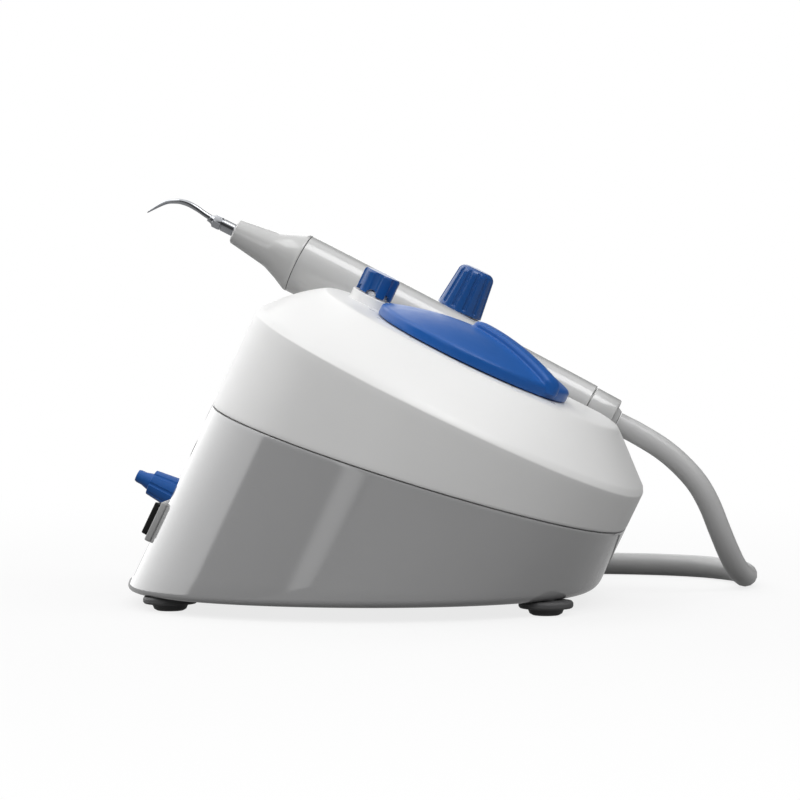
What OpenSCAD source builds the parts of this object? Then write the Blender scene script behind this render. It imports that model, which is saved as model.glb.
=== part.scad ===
// Ultrasonic dental scaler: a tabletop generator with a sloping deck, its handpiece and cord.
// Millimetres. +X is the low front, +Z is up, and the four feet stand on Z = 0.

/* [Body] */
// Length of the body along its sloping deck
body_len = 126; // [118:0.1:134]
// Width of the body, side to side
body_w = 132.4; // [128:0.1:144]
// Slope of the deck, in degrees
deck_tilt = 25.6; // [23:0.1:28]
// Height of the deck's pivot line above the table
pivot_z = 10.7; // [9:0.1:12]
// Height of the side walls' upper crease, square to the deck
crease_h = 54.8; // [53:0.1:58]
// Rise of the bevel from the crease to the deck plate
bevel_h = 13.9; // [12:0.1:16]
// Run of the bevel at the front and the rear, seen square to the deck
bevel_end_run = 15.3; // [13:0.1:18]
// Run of the bevel at the sides, seen square to the deck
bevel_side_run = 22.7; // [20:0.1:25]
// Crown of the deck plate
plate_crown = 0.5; // [0.3:0.1:1.5]
// Wall of both shells
wall = 2.5; // [2.2:0.1:2.8]
// Height of the seam between the shells, under the origin
seam_z = 44.1; // [42:0.1:47]
// Slope of the seam, in degrees
seam_tilt = 17.1; // [15:0.1:19]
// Gap between the shells at the seam
seam_gap = 0.3; // [0.2:0.05:0.5]
// Height of the tongue that the lower shell puts into the upper one
tongue_h = 2.4; // [1.6:0.1:3]
// Underside of the lower shell above the table
ground_gap = 4.1; // [3.6:0.1:6]
// Radius of the lower shell's bottom edge
bottom_round = 2.4; // [2:0.1:4.5]

/* [Feet and case screws] */
// Distance between the front and the rear feet
foot_span_x = 109.5; // [105:0.5:112]
// Distance between the left and the right feet
foot_span_y = 72; // [66:0.5:74]
// Diameter of a foot's flange
foot_flange_d = 15.8; // [14:0.1:17]
// Diameter of a foot's pad
foot_pad_d = 10.6; // [9:0.1:12]
// Distance of the front case screws from the origin
screw_front_x = 32.5; // [30:0.5:35]
// Distance of the rear case screws from the origin
screw_rear_x = 23.5; // [21:0.5:25]
// Distance of the case screws from the middle plane
screw_y = 42; // [38:0.5:44]
// Thread diameter of a case screw
screw_d = 3; // [2.5:0.1:3.5]
// Length of a case screw under its head
screw_len = 18; // [14:0.5:22]

/* [Power dial] */
// Diameter of the power dial
dial_d = 61; // [56:0.5:62]
// Height of the dial's dome above its underside
dial_h = 8.4; // [7:0.1:9.5]
// Height of the dial's rim
dial_rim_h = 3; // [2.4:0.1:3.6]
// Gap between the dial's rim and the handpiece's channel
dial_side_gap = 1.6; // [1.2:0.1:3]
// Width of the dial's pointer rib
rib_w = 7.4; // [6.6:0.1:9]
// Distance that the pointer rib stands out of the dial's rim
rib_reach = 1.5; // [0.8:0.1:1.6]
// Height of the pointer rib above the dome
rib_h = 2.3; // [1.5:0.1:3]
// Direction of the pointer at its lowest setting, from the front edge, in degrees
rib_angle = 30; // [20:1:40]
// Diameter of the dial's shaft
dial_shaft_d = 6; // [5:0.1:6.5]

/* [Mode knob] */
// Distance of the mode knob behind the dial's centre, along the deck
mode_back = 35.8; // [35:0.1:37]
// Distance of the mode knob from the dial's centre, across the deck
mode_side = 14.9; // [13:0.1:16]
// Diameter of the mode knob
mode_d = 11.4; // [10:0.1:12]
// Height of the mode knob
mode_h = 7; // [6:0.1:8]
// Diameter of the mode switch's shaft
mode_shaft_d = 4; // [3.5:0.1:4.5]

/* [Water knob] */
// Distance of the water knob behind the dial's centre, along the deck
water_back = 14.4; // [12:0.1:17]
// Distance of the water knob from the body's side
water_side = 15.2; // [14.2:0.1:16]
// Diameter of the water knob at its base
water_d = 14.6; // [13:0.1:15]
// Diameter of the water knob at its top
water_top_d = 11.8; // [10.5:0.1:12.5]
// Height of the water knob
water_h = 14; // [12:0.1:15]
// Diameter of the valve's spindle
spindle_d = 4; // [3.5:0.1:4.5]
// Number of the water knob's grooves
water_grooves = 12; // [8:1:14]

/* [Handpiece] */
// Length of the handpiece from the collar to the nose
hand_len = 129.7; // [126:0.1:134]
// Greatest radius of the handpiece, at its ring
hand_r = 9.4; // [9:0.1:9.6]
// Radius of the handpiece at the collar
hand_rear_r = 7.4; // [7:0.1:7.8]
// Distance between the water knob and the handpiece, across the deck
hand_side = 18; // [17.6:0.1:19]
// Height of the handpiece's axis, square to the deck
hand_h = 68.1; // [67.6:0.1:69]
// Extra slope of the handpiece in its channel, in degrees
hand_tilt = 0.8; // [0.4:0.1:1]
// Distance of the handpiece's collar end in front of the dial's centre
hand_end = 43.8; // [42:0.1:45]
// Running clearance of the handpiece in its channel
channel_gap = 0.4; // [0.3:0.05:0.8]
// Wall of the handpiece's tubes
hand_wall = 1.3; // [1.1:0.1:1.6]

/* [Cord] */
// Diameter of the handpiece cord
cord_d = 7; // [6.6:0.1:7]

/* [Hidden] */
fine = 96;
small = 40;
touch = 0.02;
run_gap = 0.05;
end_power = 2;
side_power = 2.54;
outline_step = 6;
pivot_x = -2.73;
bevel_bow_rear = 0.45;
bevel_bow_front = 0;
plate_power = 2.3;
white = [0.9, 0.9, 0.9];
grey = [0.55, 0.55, 0.56];
blue = [0.08, 0.28, 0.6];
hand_white = [0.86, 0.86, 0.85];
steel = [0.75, 0.75, 0.77];
dark = [0.12, 0.12, 0.13];

// Derived sizes
half_len = body_len / 2;
half_w = body_w / 2;
plate_len = body_len - 2 * bevel_end_run;
plate_w = body_w - 2 * bevel_side_run;
plate_edge_h = crease_h + bevel_h;
deck_in_h = plate_edge_h - wall;
dial_x = 0.5;
water_y = half_w - water_side;
hand_y = water_y - hand_side;
dial_y = hand_y - hand_r - channel_gap - dial_side_gap - dial_d / 2;
dial_base_h = plate_edge_h + plate_crown + 0.3;
mode_x = dial_x - mode_back;
mode_y = dial_y + mode_side;
mode_boss_h = dial_base_h + 2.3;
mode_boss_d = mode_d + 1.4;
mode_ring_d = mode_d - 3.4;
mode_ring_h = 1.5;
mode_flutes = 6;
mode_flute_turn = 93;
water_x = dial_x - water_back;
hand_u = dial_x + hand_end;
water_boss_h = plate_edge_h + 7.1;
water_boss_d = water_d + 1.6;
valve_seat_h = crease_h + 0.4;
panel_inset = 2.7;
panel_taper = 1.5;
panel_x = half_len - panel_inset;
floor_z = ground_gap + wall;
post_z = 16;
post_d = screw_d + 5;
screw_head_z = ground_gap + 3;
pilot_depth = screw_head_z + screw_len - post_z + 1;
foot_split_z = ground_gap * 0.45;
foot_peg_d = 5;
foot_peg_h = 1.6;
foot_mid_x = -2.83;
panel_half_w = 26;
panel_low = -31;
panel_high = 17;
control_low_h = deck_in_h - 8;
control_bush_d = 9;
switch_bush_d = 6.4;
nut_h = plate_edge_h + plate_crown + 0.02;
dial_hollow = 1.7;
shaft_top = 6.2;
valve_d = 13;
valve_len = 14;
valve_neck_d = 8;
valve_neck_h = 8;
valve_port_h = valve_seat_h - valve_len - 4;
hose_d = 4;
valve_port_x = 4;
solenoid_x = -33.5;
solenoid_y = 28;
solenoid_l = 22;
solenoid_w = 16;
solenoid_base_h = 13;
solenoid_coil_d = 17;
solenoid_coil_h = 20;
yoke_w = 5;
yoke_t = 1.5;
port_len = 6;
inlet_y = 6;
inlet_h = -8.2;
inlet_thread_d = 8;
inlet_len = 16.3;
inlet_step = 11.5;
inlet_collar_r = 3.9;
inlet_nozzle_r = 2;
inlet_depth = 11;
port_out = 13;
port_z = 6.5;
switch_y = -15.5;
switch_h = -13.8;
switch_w = 12.5;
switch_l = 19;
switch_lip = 1.9;
switch_body_w = 11.8;
switch_body_l = 17.6;
switch_depth = 12;
rocker_gap = 0.3;
rocker_w = 10;
rocker_end_h = 2.6;
rocker_mid_h = 1.6;
rocker_r = 8;
rocker_pivot = switch_lip - 1.6;
rocker_throw = 16;
pin_d = 1.4;
mains_y = 13.5;
mains_h = -20;
mains_w = 11.6;
mains_l = 23;
mains_body_w = 9.6;
mains_body_l = 20;
mains_lip = 1.6;
mains_depth = 11;
mains_hole_w = 8;
mains_hole_l = 16.8;
mains_hole_depth = 9;
mains_pin_d = 2.4;
mains_pin_gap = 9.2;
mains_pin_len = 8;
fuse_y = 1;
fuse_h = 8;
fuse_d = 7;
fuse_cap_d = 10;
fuse_cap_h = 3;
fuse_slot_w = 1.2;
fuse_depth = 18;
socket_y = 16;
socket_h = 7;
socket_d = 11;
socket_flange_d = 14;
socket_lip = 1.6;
socket_len = 14;
socket_bore = 6.4;
socket_depth = 11;
board_x = 4.5;
board_l = 42;
board_w = 68;
board_z = 13;
board_t = 1.6;
board_edge = 5;
spacer_d = 6.4;
board_screw_d = 2.5;
board_screw_len = 5;
part_x = 16;
part_l = 16;
part_w = 11;
part_h = 10;
low_part_h = 7;
cap_x = 8;
cap_y = 15;
cap_d = 10;
cap_h = 15;
plug_row_l = 28;
plug_row_w = 5.5;
sink_w = 32;
sink_base = 3;
fins = 6;
fin_t = 1.5;
fin_h = 10.5;
trafo_x = -23.5;
trafo_y = -14;
trafo_in = 7;
trafo_out = 22;
trafo_h = 22;
trafo_round = 5;
clamp_d = 26;
clamp_t = 1.5;
clamp_bolt_d = 4;
clamp_nut_d = 8;
collar_len = 8.4;
ring_z = hand_len - 22.7;
seal_t = 0.6;
seal_r = 7.6;
nose_mid_z = hand_len - 12.6;
nose_mid_r = 5.7;
nose_r = 3.9;
nose_bore_r = 2.6;
horn_z = hand_len - 34;
horn_flange_r = 7.6;
horn_r = 5.6;
horn_front_r = 5;
horn_neck_r = 2.1;
stud_r = 1.2;
stud_len = 5;
ring_r = 5.5;
ring_t = 2.8;
ring_step = 2.9;
bolt_r = 2.4;
bolt_head_r = 3.4;
mass_len = 12.35;
tip_base_gap = 0.3;
tip_base_r = 1.95;
tip_hex_r = 2.3;
tip_base_len = 7.3;
relief_r = 4.5;
relief_proud = 1.5;
gland_x = 11;
gland_z = 24;
gland_thread_d = 12;
gland_seat_d = 19;
gland_len = 22;
gland_inner = 9;
coil_centre = [-27.5, 130, 0];
coil_mid_r = 35;
coil_layers = 4;
tie_w = 10;
tie_t = 1.1;
seat_gap = 0.3;
function room(u, y, w) =
  [pivot_x + u * cos(deck_tilt) + w * sin(deck_tilt), y, pivot_z - u * sin(deck_tilt) + w * cos(deck_tilt)];
// A point beyond the handpiece's collar, d out along its axis
function behind_hand(d) =
  room(hand_u + d * cos(hand_tilt), hand_y, hand_h - hand_u * tan(hand_tilt) - d * sin(hand_tilt));
// Points of the cord from the collar to the coil, then from the coil to the gland
cord_route = concat([for (d = [0, 3, 6]) behind_hand(relief_proud + seat_gap + d)],
  [[81, 33, 44.4], [87, 33, 39.5], [92.3, 33.2, 33.6], [96, 34, 27], [98.8, 35.6, 19.8], [101.5, 38.5, 12.8],
  [104, 43.4, 7], [106, 50.5, 4.1], [106.5, 59, 3.5], [104.5, 68, 3.5], [99.5, 76.5, 3.5], [91.5, 83.8, 3.5],
  [80.5, 88.8, 3.5], [66.5, 91.2, 3.5], [48.5, 91.7, 3.5], [30.5, 91.6, 3.5],
  [12.5, 91.5, 3.5], [-5.5, 91.5, 3.5]]);
tail_route = [[gland_x, 112, 25.2], [gland_x, 105, 25], [gland_x, 98, 24.4],
  for (d = [6, 3, 0]) [gland_x, half_w + gland_len + seat_gap + d, gland_z]];
// Hoses: inlet to solenoid, solenoid to valve, valve to the gland
inlet_hose = concat([for (d = [0, 1.5, 3]) room(-panel_x + inlet_depth + seat_gap + d, inlet_y, inlet_h)],
  [[-42.5, 7.2, 20.2], [-39.3, 9.4, 16.2]],
  [for (d = [3, 1.5, 0])
    [solenoid_x - valve_port_x, solenoid_y - port_out - seat_gap - d, floor_z + port_z]]);
valve_hose = concat(
  [for (d = [0, 2, 4]) [solenoid_x + port_out + 3 + seat_gap + d, solenoid_y, floor_z + port_z]],
  [[-9.5, 34, 17], [-8, 42, 25], [-8, 48, 34]],
  [for (d = [4, 2, 0]) room(water_x - valve_port_x, water_y, valve_port_h - seat_gap - d)]);
gland_hose = concat([for (d = [0, 2, 4]) room(water_x + valve_port_x, water_y, valve_port_h - seat_gap - d)],
  [[2.2, 51, 34], [5, 51.4, 28.5], [9, 52, 25]],
  [for (d = [3, 1.5, 0]) [gland_x, half_w - gland_inner - seat_gap - d, gland_z]]);

// Frames: a point of the deck frame is carried to the room frame by one turn about Y
module deck_frame() translate([pivot_x, 0, pivot_z]) rotate([0, deck_tilt, 0]) children();
module room_to_deck() rotate([0, -deck_tilt, 0]) translate([-pivot_x, 0, -pivot_z]) children();
module dial_frame() deck_frame() translate([dial_x, dial_y, 0]) children();
module mode_frame() deck_frame() translate([mode_x, mode_y, 0]) children();
module water_frame() deck_frame() translate([water_x, water_y, 0]) children();
module hand_frame() deck_frame() translate([hand_u, hand_y, hand_h - hand_u * tan(hand_tilt)])
  rotate([0, -90 + hand_tilt, 0]) children();
// Local Z of this frame points out of the rear panel, local X up along the panel
module rear_frame(y, h) deck_frame() translate([-panel_x, y, h]) rotate([0, -90, 0]) children();

// Body outline: one smooth closed curve, fuller at the sides than an ellipse
function signed_pow(x, p) = sign(x) * pow(abs(x), p);
function outline(a, b, pa = end_power, pb = side_power) =
  [for (q = [0:outline_step:359]) [a * signed_pow(cos(q), 2 / pa), b * signed_pow(sin(q), 2 / pb)]];
function level(pts, h) = [for (p = pts) [p[0], p[1], h]];
// Height above the pivot, square to the deck, of the room plane z = z0 + slope * x at station u
function plane_h(u, z0, slope) =
  (z0 + slope * pivot_x - pivot_z + u * (slope * cos(deck_tilt) + sin(deck_tilt)))
  / (cos(deck_tilt) - slope * sin(deck_tilt));
function on_plane(pts, z0, slope = 0) = [for (p = pts) [p[0], p[1], plane_h(p[0], z0, slope)]];
seam_slope = -tan(seam_tilt);
function on_seam(pts, rise) = on_plane(pts, seam_z + rise, seam_slope);
function mix(a, b, s) = a + (b - a) * s;

// Solid through a stack of closed rings of equal point counts
module loft(rings) {
  n = len(rings[0]);
  m = len(rings);
  polyhedron(
    points = [for (r = rings) for (p = r) p],
    faces = concat(
      [[for (i = [0:n - 1]) i]],
      [for (k = [0:m - 2]) for (i = [0:n - 1]) [k * n + i, (k + 1) * n + i, (k + 1) * n + (i + 1) % n]],
      [for (k = [0:m - 2]) for (i = [0:n - 1]) [k * n + i, (k + 1) * n + (i + 1) % n, k * n + (i + 1) % n]],
      [[for (i = [n - 1:-1:0]) (m - 1) * n + i]]));
}

// Tube swept along hand-chosen points, joined by a smooth curve, with a ring every gap or so
function catmull(a, b, c, d, t) = 0.5 * ((2 * b) + (c - a) * t + (2 * a - 5 * b + 4 * c - d) * t * t
  + (3 * b - a - 3 * c + d) * t * t * t);
function at(pts, i) = pts[max(0, min(len(pts) - 1, i))];
function smooth_path(pts, parts) = concat(
  [for (i = [0:len(pts) - 2]) for (j = [0:parts - 1])
    catmull(at(pts, i - 1), pts[i], pts[i + 1], at(pts, i + 2), j / parts)],
  [pts[len(pts) - 1]]);
function unit(v) = v / norm(v);
function heading(path, i) = unit(at(path, i + 1) - at(path, i - 1));
// Side vectors carried along a path without twist
function carried(path, i, v) = i == len(path) ? [] :
  let (t = heading(path, i), s = unit(v - (v * t) * t)) concat([s], carried(path, i + 1, s));
module sweep_tube(path, d, sides) {
  side = carried(path, 0, cross(heading(path, 0), [0.3, 0.4, 0.9]));
  loft([for (i = [len(path) - 1:-1:0]) let (s = side[i], u = cross(s, heading(path, i)))
    [for (k = [0:sides - 1]) path[i] + d / 2 * (cos(360 * k / sides) * s - sin(360 * k / sides) * u)]]);
}

// Upper shell
function bevel_bow(u) = mix(bevel_bow_rear, bevel_bow_front, 0.5 + u / body_len);
function bevel_ring(s, inset = 0) = [for (p = outline(
  mix(half_len, plate_len / 2, s) - inset, mix(half_w, plate_w / 2, s) - inset,
  mix(end_power, plate_power, s), mix(side_power, plate_power, s)))
  [p[0], p[1], crease_h + bevel_h * s * (1 + bevel_bow(p[0]) * (1 - s)) - inset]];
function crown_ring(s) = level(
  outline(plate_len / 2 * s, plate_w / 2 * s, plate_power, plate_power),
  plate_edge_h + plate_crown * (1 - s * s));
module upper_outer(from_rise) loft(concat(
  [on_seam(outline(half_len, half_w), from_rise)],
  [level(outline(half_len, half_w), crease_h - 0.9)],
  [level(outline(half_len - 0.35, half_w - 0.35), crease_h)],
  [for (s = [0.06, 0.25, 0.5, 0.75, 0.94]) bevel_ring(s)],
  [for (s = [0.97, 0.85, 0.6, 0.3, 0.08]) crown_ring(s)]));
module upper_inner() loft([
  on_seam(outline(half_len - wall, half_w - wall), -1),
  level(outline(half_len - wall, half_w - wall), crease_h - wall / 2),
  bevel_ring(0.3, wall),
  bevel_ring(0.65, wall),
  level(outline(plate_len / 2 - 1, plate_w / 2 - 1, plate_power, plate_power), deck_in_h)]);
module seam_rebate(clear, rise) loft([
  on_seam(outline(half_len - wall / 2 + clear, half_w - wall / 2 + clear), -1),
  on_seam(outline(half_len - wall / 2 + clear, half_w - wall / 2 + clear), rise)]);
module channel_cut(extra, from, to) hand_frame() translate([0, 0, from])
  cylinder(r = hand_r + channel_gap + extra, h = to - from, $fn = fine);
module screw_posts() for (x = [-screw_rear_x, screw_front_x]) for (y = [-1, 1])
  translate([x, y * screw_y, post_z]) cylinder(d = post_d, h = 80, $fn = small);
module bush_hole(d, from) translate([0, 0, from]) cylinder(d = d, h = 40, $fn = small);
module upper_shell() color(white) deck_frame() difference() {
  union() {
    difference() {
      upper_outer(seam_gap);
      upper_inner();
      seam_rebate(0.2, tongue_h + 0.4);
    }
    // The trough under the handpiece and the screw posts are trimmed by the shell's own skin
    intersection() {
      upper_outer(-60);
      union() {
        difference() {
          room_to_deck() channel_cut(2, -40, 160);
          translate([-100, -100, -100]) cube([200, 200, 100 + valve_seat_h - 6]);
        }
        room_to_deck() screw_posts();
      }
    }
    translate([mode_x, mode_y, deck_in_h]) cylinder(d = mode_boss_d, h = mode_boss_h - deck_in_h,
      $fn = small);
    translate([mode_x, mode_y, mode_boss_h - 1]) cylinder(d = mode_ring_d, h = 1 + mode_ring_h, $fn = small);
    translate([water_x, water_y, valve_seat_h])
      cylinder(d = water_boss_d, h = water_boss_h - valve_seat_h, $fn = fine);
  }
  room_to_deck() channel_cut(0, -60, 180);
  translate([dial_x, dial_y, 0]) bush_hole(control_bush_d + 0.4, deck_in_h - 1);
  translate([mode_x, mode_y, 0]) bush_hole(switch_bush_d + 0.4, deck_in_h - 1);
  translate([water_x, water_y, valve_seat_h - 1]) cylinder(d = valve_neck_d + 0.2, h = valve_neck_h + 1.2,
    $fn = small);
  translate([water_x, water_y, 0]) bush_hole(spindle_d + 2 * run_gap, valve_seat_h);
  room_to_deck() at_screws() translate([0, 0, post_z - 1])
    cylinder(d = screw_d - 0.5, h = pilot_depth + 1, $fn = small);
}

// Lower shell
module at_screws() for (x = [-screw_rear_x, screw_front_x]) for (y = [-1, 1])
  translate([x, y * screw_y, 0]) children();
module at_feet() for (x = [-1, 1]) for (y = [-1, 1])
  translate([foot_mid_x + x * foot_span_x / 2, y * foot_span_y / 2, 0]) children();
function bottom_ring(q) = on_plane(
  outline(half_len - bottom_round * (1 - sin(q)), half_w - bottom_round * (1 - sin(q))),
  ground_gap + bottom_round * (1 - cos(q)));
module lower_outer() loft(concat(
  [for (q = [0:30:90]) bottom_ring(q)],
  [on_seam(outline(half_len, half_w), 0)]));
module lower_cavity() loft([
  on_plane(outline(half_len - wall - 2, half_w - wall - 2), floor_z),
  on_plane(outline(half_len - wall, half_w - wall), floor_z + 2),
  on_seam(outline(half_len - wall, half_w - wall), tongue_h + 3)]);
module seam_tongue() loft([
  on_seam(outline(half_len - wall / 2, half_w - wall / 2), -1),
  on_seam(outline(half_len - wall / 2, half_w - wall / 2), tongue_h)]);
module rear_pad() translate([-panel_x, -panel_half_w, panel_low])
  cube([wall, 2 * panel_half_w, panel_high - panel_low]);
// The flat that the rear panel is cut to; its upper and lower ends run out at a slope
module rear_flat(depth) rotate([90, 0, 0]) translate([0, 0, -panel_half_w - 1])
  linear_extrude(2 * panel_half_w + 2) polygon([[-panel_x, panel_low], [-panel_x, panel_high],
    [-panel_x - depth, panel_high + panel_taper * depth],
    [-panel_x - depth, panel_low - panel_taper * depth]]);
module gland_frame() translate([gland_x, half_w, gland_z]) rotate([-90, 0, 0]) children();
module lower_shell() color(grey) difference() {
  union() {
    deck_frame() difference() {
      union() {
        lower_outer();
        seam_tongue();
      }
      lower_cavity();
    }
    deck_frame() intersection() {
      lower_outer();
      rear_pad();
    }
    at_screws() translate([0, 0, floor_z - 1]) cylinder(d = post_d, h = post_z - floor_z + 1, $fn = small);
    gland_frame() translate([0, 0, -wall - 1]) cylinder(d = gland_seat_d, h = wall + 1, $fn = small);
  }
  deck_frame() rear_flat(10);
  at_screws() {
    translate([0, 0, -1]) cylinder(d = screw_d + 0.5, h = 40, $fn = small);
    translate([0, 0, -1]) cylinder(d = 2 * screw_d + 0.6, h = screw_head_z + 1, $fn = small);
  }
  at_feet() cylinder(d = foot_peg_d + 0.1, h = ground_gap + foot_peg_h + 0.1, $fn = small);
  rear_frame(switch_y, switch_h) translate([-switch_body_w / 2 - 0.1, -switch_body_l / 2 - 0.1, -10])
    cube([switch_body_w + 0.2, switch_body_l + 0.2, 20]);
  rear_frame(inlet_y, inlet_h) translate([0, 0, -10])
    cylinder(d = inlet_thread_d + 0.2, h = 20, $fn = small);
  rear_frame(mains_y, mains_h) translate([-mains_body_w / 2 - 0.1, -mains_body_l / 2 - 0.1, -10])
    cube([mains_body_w + 0.2, mains_body_l + 0.2, 20]);
  rear_frame(fuse_y, fuse_h) translate([0, 0, -10]) cylinder(d = fuse_d + 0.2, h = 20, $fn = small);
  rear_frame(socket_y, socket_h) translate([0, 0, -10]) cylinder(d = socket_d + 0.2, h = 20, $fn = small);
  gland_frame() translate([0, 0, -20]) cylinder(d = gland_thread_d + 0.2, h = 40, $fn = small);
}

// Feet: flange under the shell, tapered pad, and a short peg in a blind hole of the floor
module rubber_feet() color(dark) at_feet() rotate_extrude($fn = small) polygon([
  [0, 0], [foot_pad_d / 2 - 1.5, 0], [foot_pad_d / 2 - 0.6, 0.5], [foot_pad_d / 2, foot_split_z],
  [foot_flange_d / 2 - 0.4, foot_split_z + 0.2], [foot_flange_d / 2, foot_split_z + 0.7],
  [foot_flange_d / 2, ground_gap - 0.6], [foot_flange_d / 2 - 0.4, ground_gap], [foot_peg_d / 2, ground_gap],
  [foot_peg_d / 2, ground_gap + foot_peg_h], [0, ground_gap + foot_peg_h]]);
module pan_screw(d, len) {
  translate([0, 0, -0.62 * d]) cylinder(d = 2 * d, h = 0.62 * d, $fn = small);
  cylinder(d = d - 0.5, h = len, $fn = small);
}
module case_screws() color(steel) at_screws() translate([0, 0, screw_head_z]) difference() {
  pan_screw(screw_d, screw_len);
  for (q = [0, 90]) rotate([0, 0, q]) translate([-screw_d * 0.6, -0.35, -screw_d])
    cube([screw_d * 1.2, 0.7, screw_d * 0.75]);
}

// Power dial: a shallow dome with one raised pointer rib
function dome_h(r) = dial_rim_h + 0.4 + (dial_h - dial_rim_h - 0.4) * (1 - pow(r / (dial_d / 2 - 1.2), 2));
module dial_dome() rotate_extrude($fn = fine) polygon(concat(
  [[0, 0], [dial_d / 2 - 0.7, 0], [dial_d / 2, 0.5], [dial_d / 2, dial_rim_h - 0.7],
  [dial_d / 2 - 0.35, dial_rim_h]],
  [for (k = [10:-1:0]) let (r = (dial_d / 2 - 1.2) * k / 10) [r, dome_h(r)]]));
module dial_rib() intersection() {
  rotate([90, 0, 0]) translate([0, 0, -rib_w / 2]) linear_extrude(rib_w) polygon(concat(
    [[-6, 1], [-4.6, dome_h(0) - 0.4]],
    [for (k = [0:10]) let (r = -3.4 + (dial_d / 2 + 2.2) * k / 10)
      [r, dome_h(r) + rib_h + (k == 0 ? -0.8 : 0)]],
    [[dial_d / 2 + rib_reach - 1, dial_rim_h + 2.1], [dial_d / 2 + rib_reach - 0.3, dial_rim_h + 1.2],
      [dial_d / 2 + rib_reach, dial_rim_h], [dial_d / 2 + rib_reach, 1.6],
      [dial_d / 2 + rib_reach - 0.5, 1]]));
  rib_outline();
}
module rib_outline() {
  end_x = dial_d / 2 + rib_reach - rib_w / 2;
  translate([0, -rib_w / 2, 0]) cube([end_x, rib_w, 20]);
  for (x = [0, end_x]) translate([x, 0, 0]) cylinder(d = rib_w, h = 20, $fn = small);
}
module power_dial() color(blue) dial_frame() translate([0, 0, dial_base_h]) difference() {
  union() {
    dial_dome();
    rotate([0, 0, -rib_angle]) dial_rib();
  }
  translate([0, 0, -1]) cylinder(d = dial_d - 5, h = 1 + dial_hollow, $fn = fine);
  translate([0, 0, -1]) cylinder(d = dial_shaft_d + 2 * touch, h = 1 + shaft_top, $fn = small);
}
module dial_shaft() color(steel) dial_frame() translate([0, 0, control_low_h + 1.6])
  cylinder(d = dial_shaft_d, h = dial_base_h + shaft_top - 0.1 - control_low_h - 1.6, $fn = small);
module power_control() color(steel) dial_frame() difference() {
  union() {
    translate([0, 0, control_low_h]) cylinder(d = 17, h = deck_in_h - control_low_h, $fn = small);
    translate([0, 0, deck_in_h - 1]) cylinder(d = control_bush_d, h = nut_h + 1.2 - deck_in_h + 1,
      $fn = small);
  }
  translate([0, 0, control_low_h + 1.5]) cylinder(d = dial_shaft_d + 2 * run_gap, h = 30, $fn = small);
}
module control_nut() color(steel) dial_frame() translate([0, 0, nut_h]) difference() {
  cylinder(d = control_bush_d + 5, h = 1.2, $fn = 6);
  translate([0, 0, -1]) cylinder(d = control_bush_d + 2 * touch, h = 4, $fn = small);
}

// Mode knob: finger flutes, each with a small arch at its foot, over a low ring of the deck
module mode_knob() color(blue) mode_frame() translate([0, 0, mode_boss_h + seat_gap]) difference() {
  rotate_extrude($fn = fine) polygon([[0, 0], [mode_d / 2, 0], [mode_d / 2, mode_h - 0.9],
    [mode_d / 2 - 0.3, mode_h - 0.3], [mode_d / 2 - 0.9, mode_h], [0, mode_h]]);
  for (k = [0:mode_flutes - 1]) rotate([0, 0, 360 * k / mode_flutes - mode_flute_turn]) {
    translate([mode_d / 2 + 1.5, 0, -1]) cylinder(r = 2.3, h = mode_h + 2, $fn = small);
    translate([mode_ring_d / 2 - 1, 0, 0]) rotate([0, 90, 0]) cylinder(r = 1.6, h = 6, $fn = small);
  }
  translate([0, 0, -1]) cylinder(d = mode_ring_d + 2 * seat_gap + 0.1, h = 1 + mode_ring_h, $fn = small);
  translate([0, 0, -1]) cylinder(d = mode_shaft_d + 2 * touch, h = mode_h - 1, $fn = small);
}
module mode_shaft() color(steel) mode_frame() translate([0, 0, control_low_h + 1.6])
  cylinder(d = mode_shaft_d, h = mode_boss_h + 0.3 + mode_h - 2.1 - control_low_h - 1.6, $fn = small);
module mode_switch() color(dark) mode_frame() difference() {
  union() {
    translate([-5.5, -5.5, control_low_h]) cube([11, 11, deck_in_h - control_low_h]);
    translate([0, 0, deck_in_h - 1]) cylinder(d = switch_bush_d, h = mode_boss_h - 0.3 - deck_in_h + 1,
      $fn = small);
  }
  translate([0, 0, control_low_h + 1.5]) cylinder(d = mode_shaft_d + 2 * run_gap, h = 30, $fn = small);
}
module control_board() color([0.1, 0.4, 0.2]) deck_frame()
  translate([mode_x - 9, dial_y - 11, control_low_h - 1.6])
    cube([dial_x - mode_x + 20, mode_y - dial_y + 18, 1.6]);

// Water knob, its spindle and the valve that it turns
module water_knob() color(blue) water_frame() translate([0, 0, water_boss_h + 0.4]) difference() {
  rotate_extrude($fn = fine) polygon(concat([[0, 0], [water_d / 2 - 0.3, 0], [water_d / 2, 0.4]],
    [for (q = [0:18:90]) [water_top_d / 2 - 2.4 + 2.4 * cos(q), water_h - 2.4 + 2.4 * sin(q)]],
    [[0, water_h]]));
  for (k = [0:water_grooves - 1]) rotate([0, 0, 360 * (k + 0.5) / water_grooves])
    translate([water_d / 2 + 0.05, 0, 1])
      rotate([0, -atan((water_d - water_top_d) / 2 / (water_h - 2.4)), 0])
      cylinder(r = 0.75, h = water_h + 2, $fn = 16);
  translate([0, 0, -1]) cylinder(d = spindle_d + 2 * touch, h = water_h - 3, $fn = small);
}
module valve_spindle() color(steel) water_frame() translate([0, 0, valve_seat_h - 8])
  cylinder(d = spindle_d, h = water_boss_h + 0.4 + water_h - 4.2 - valve_seat_h + 8, $fn = small);
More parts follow.
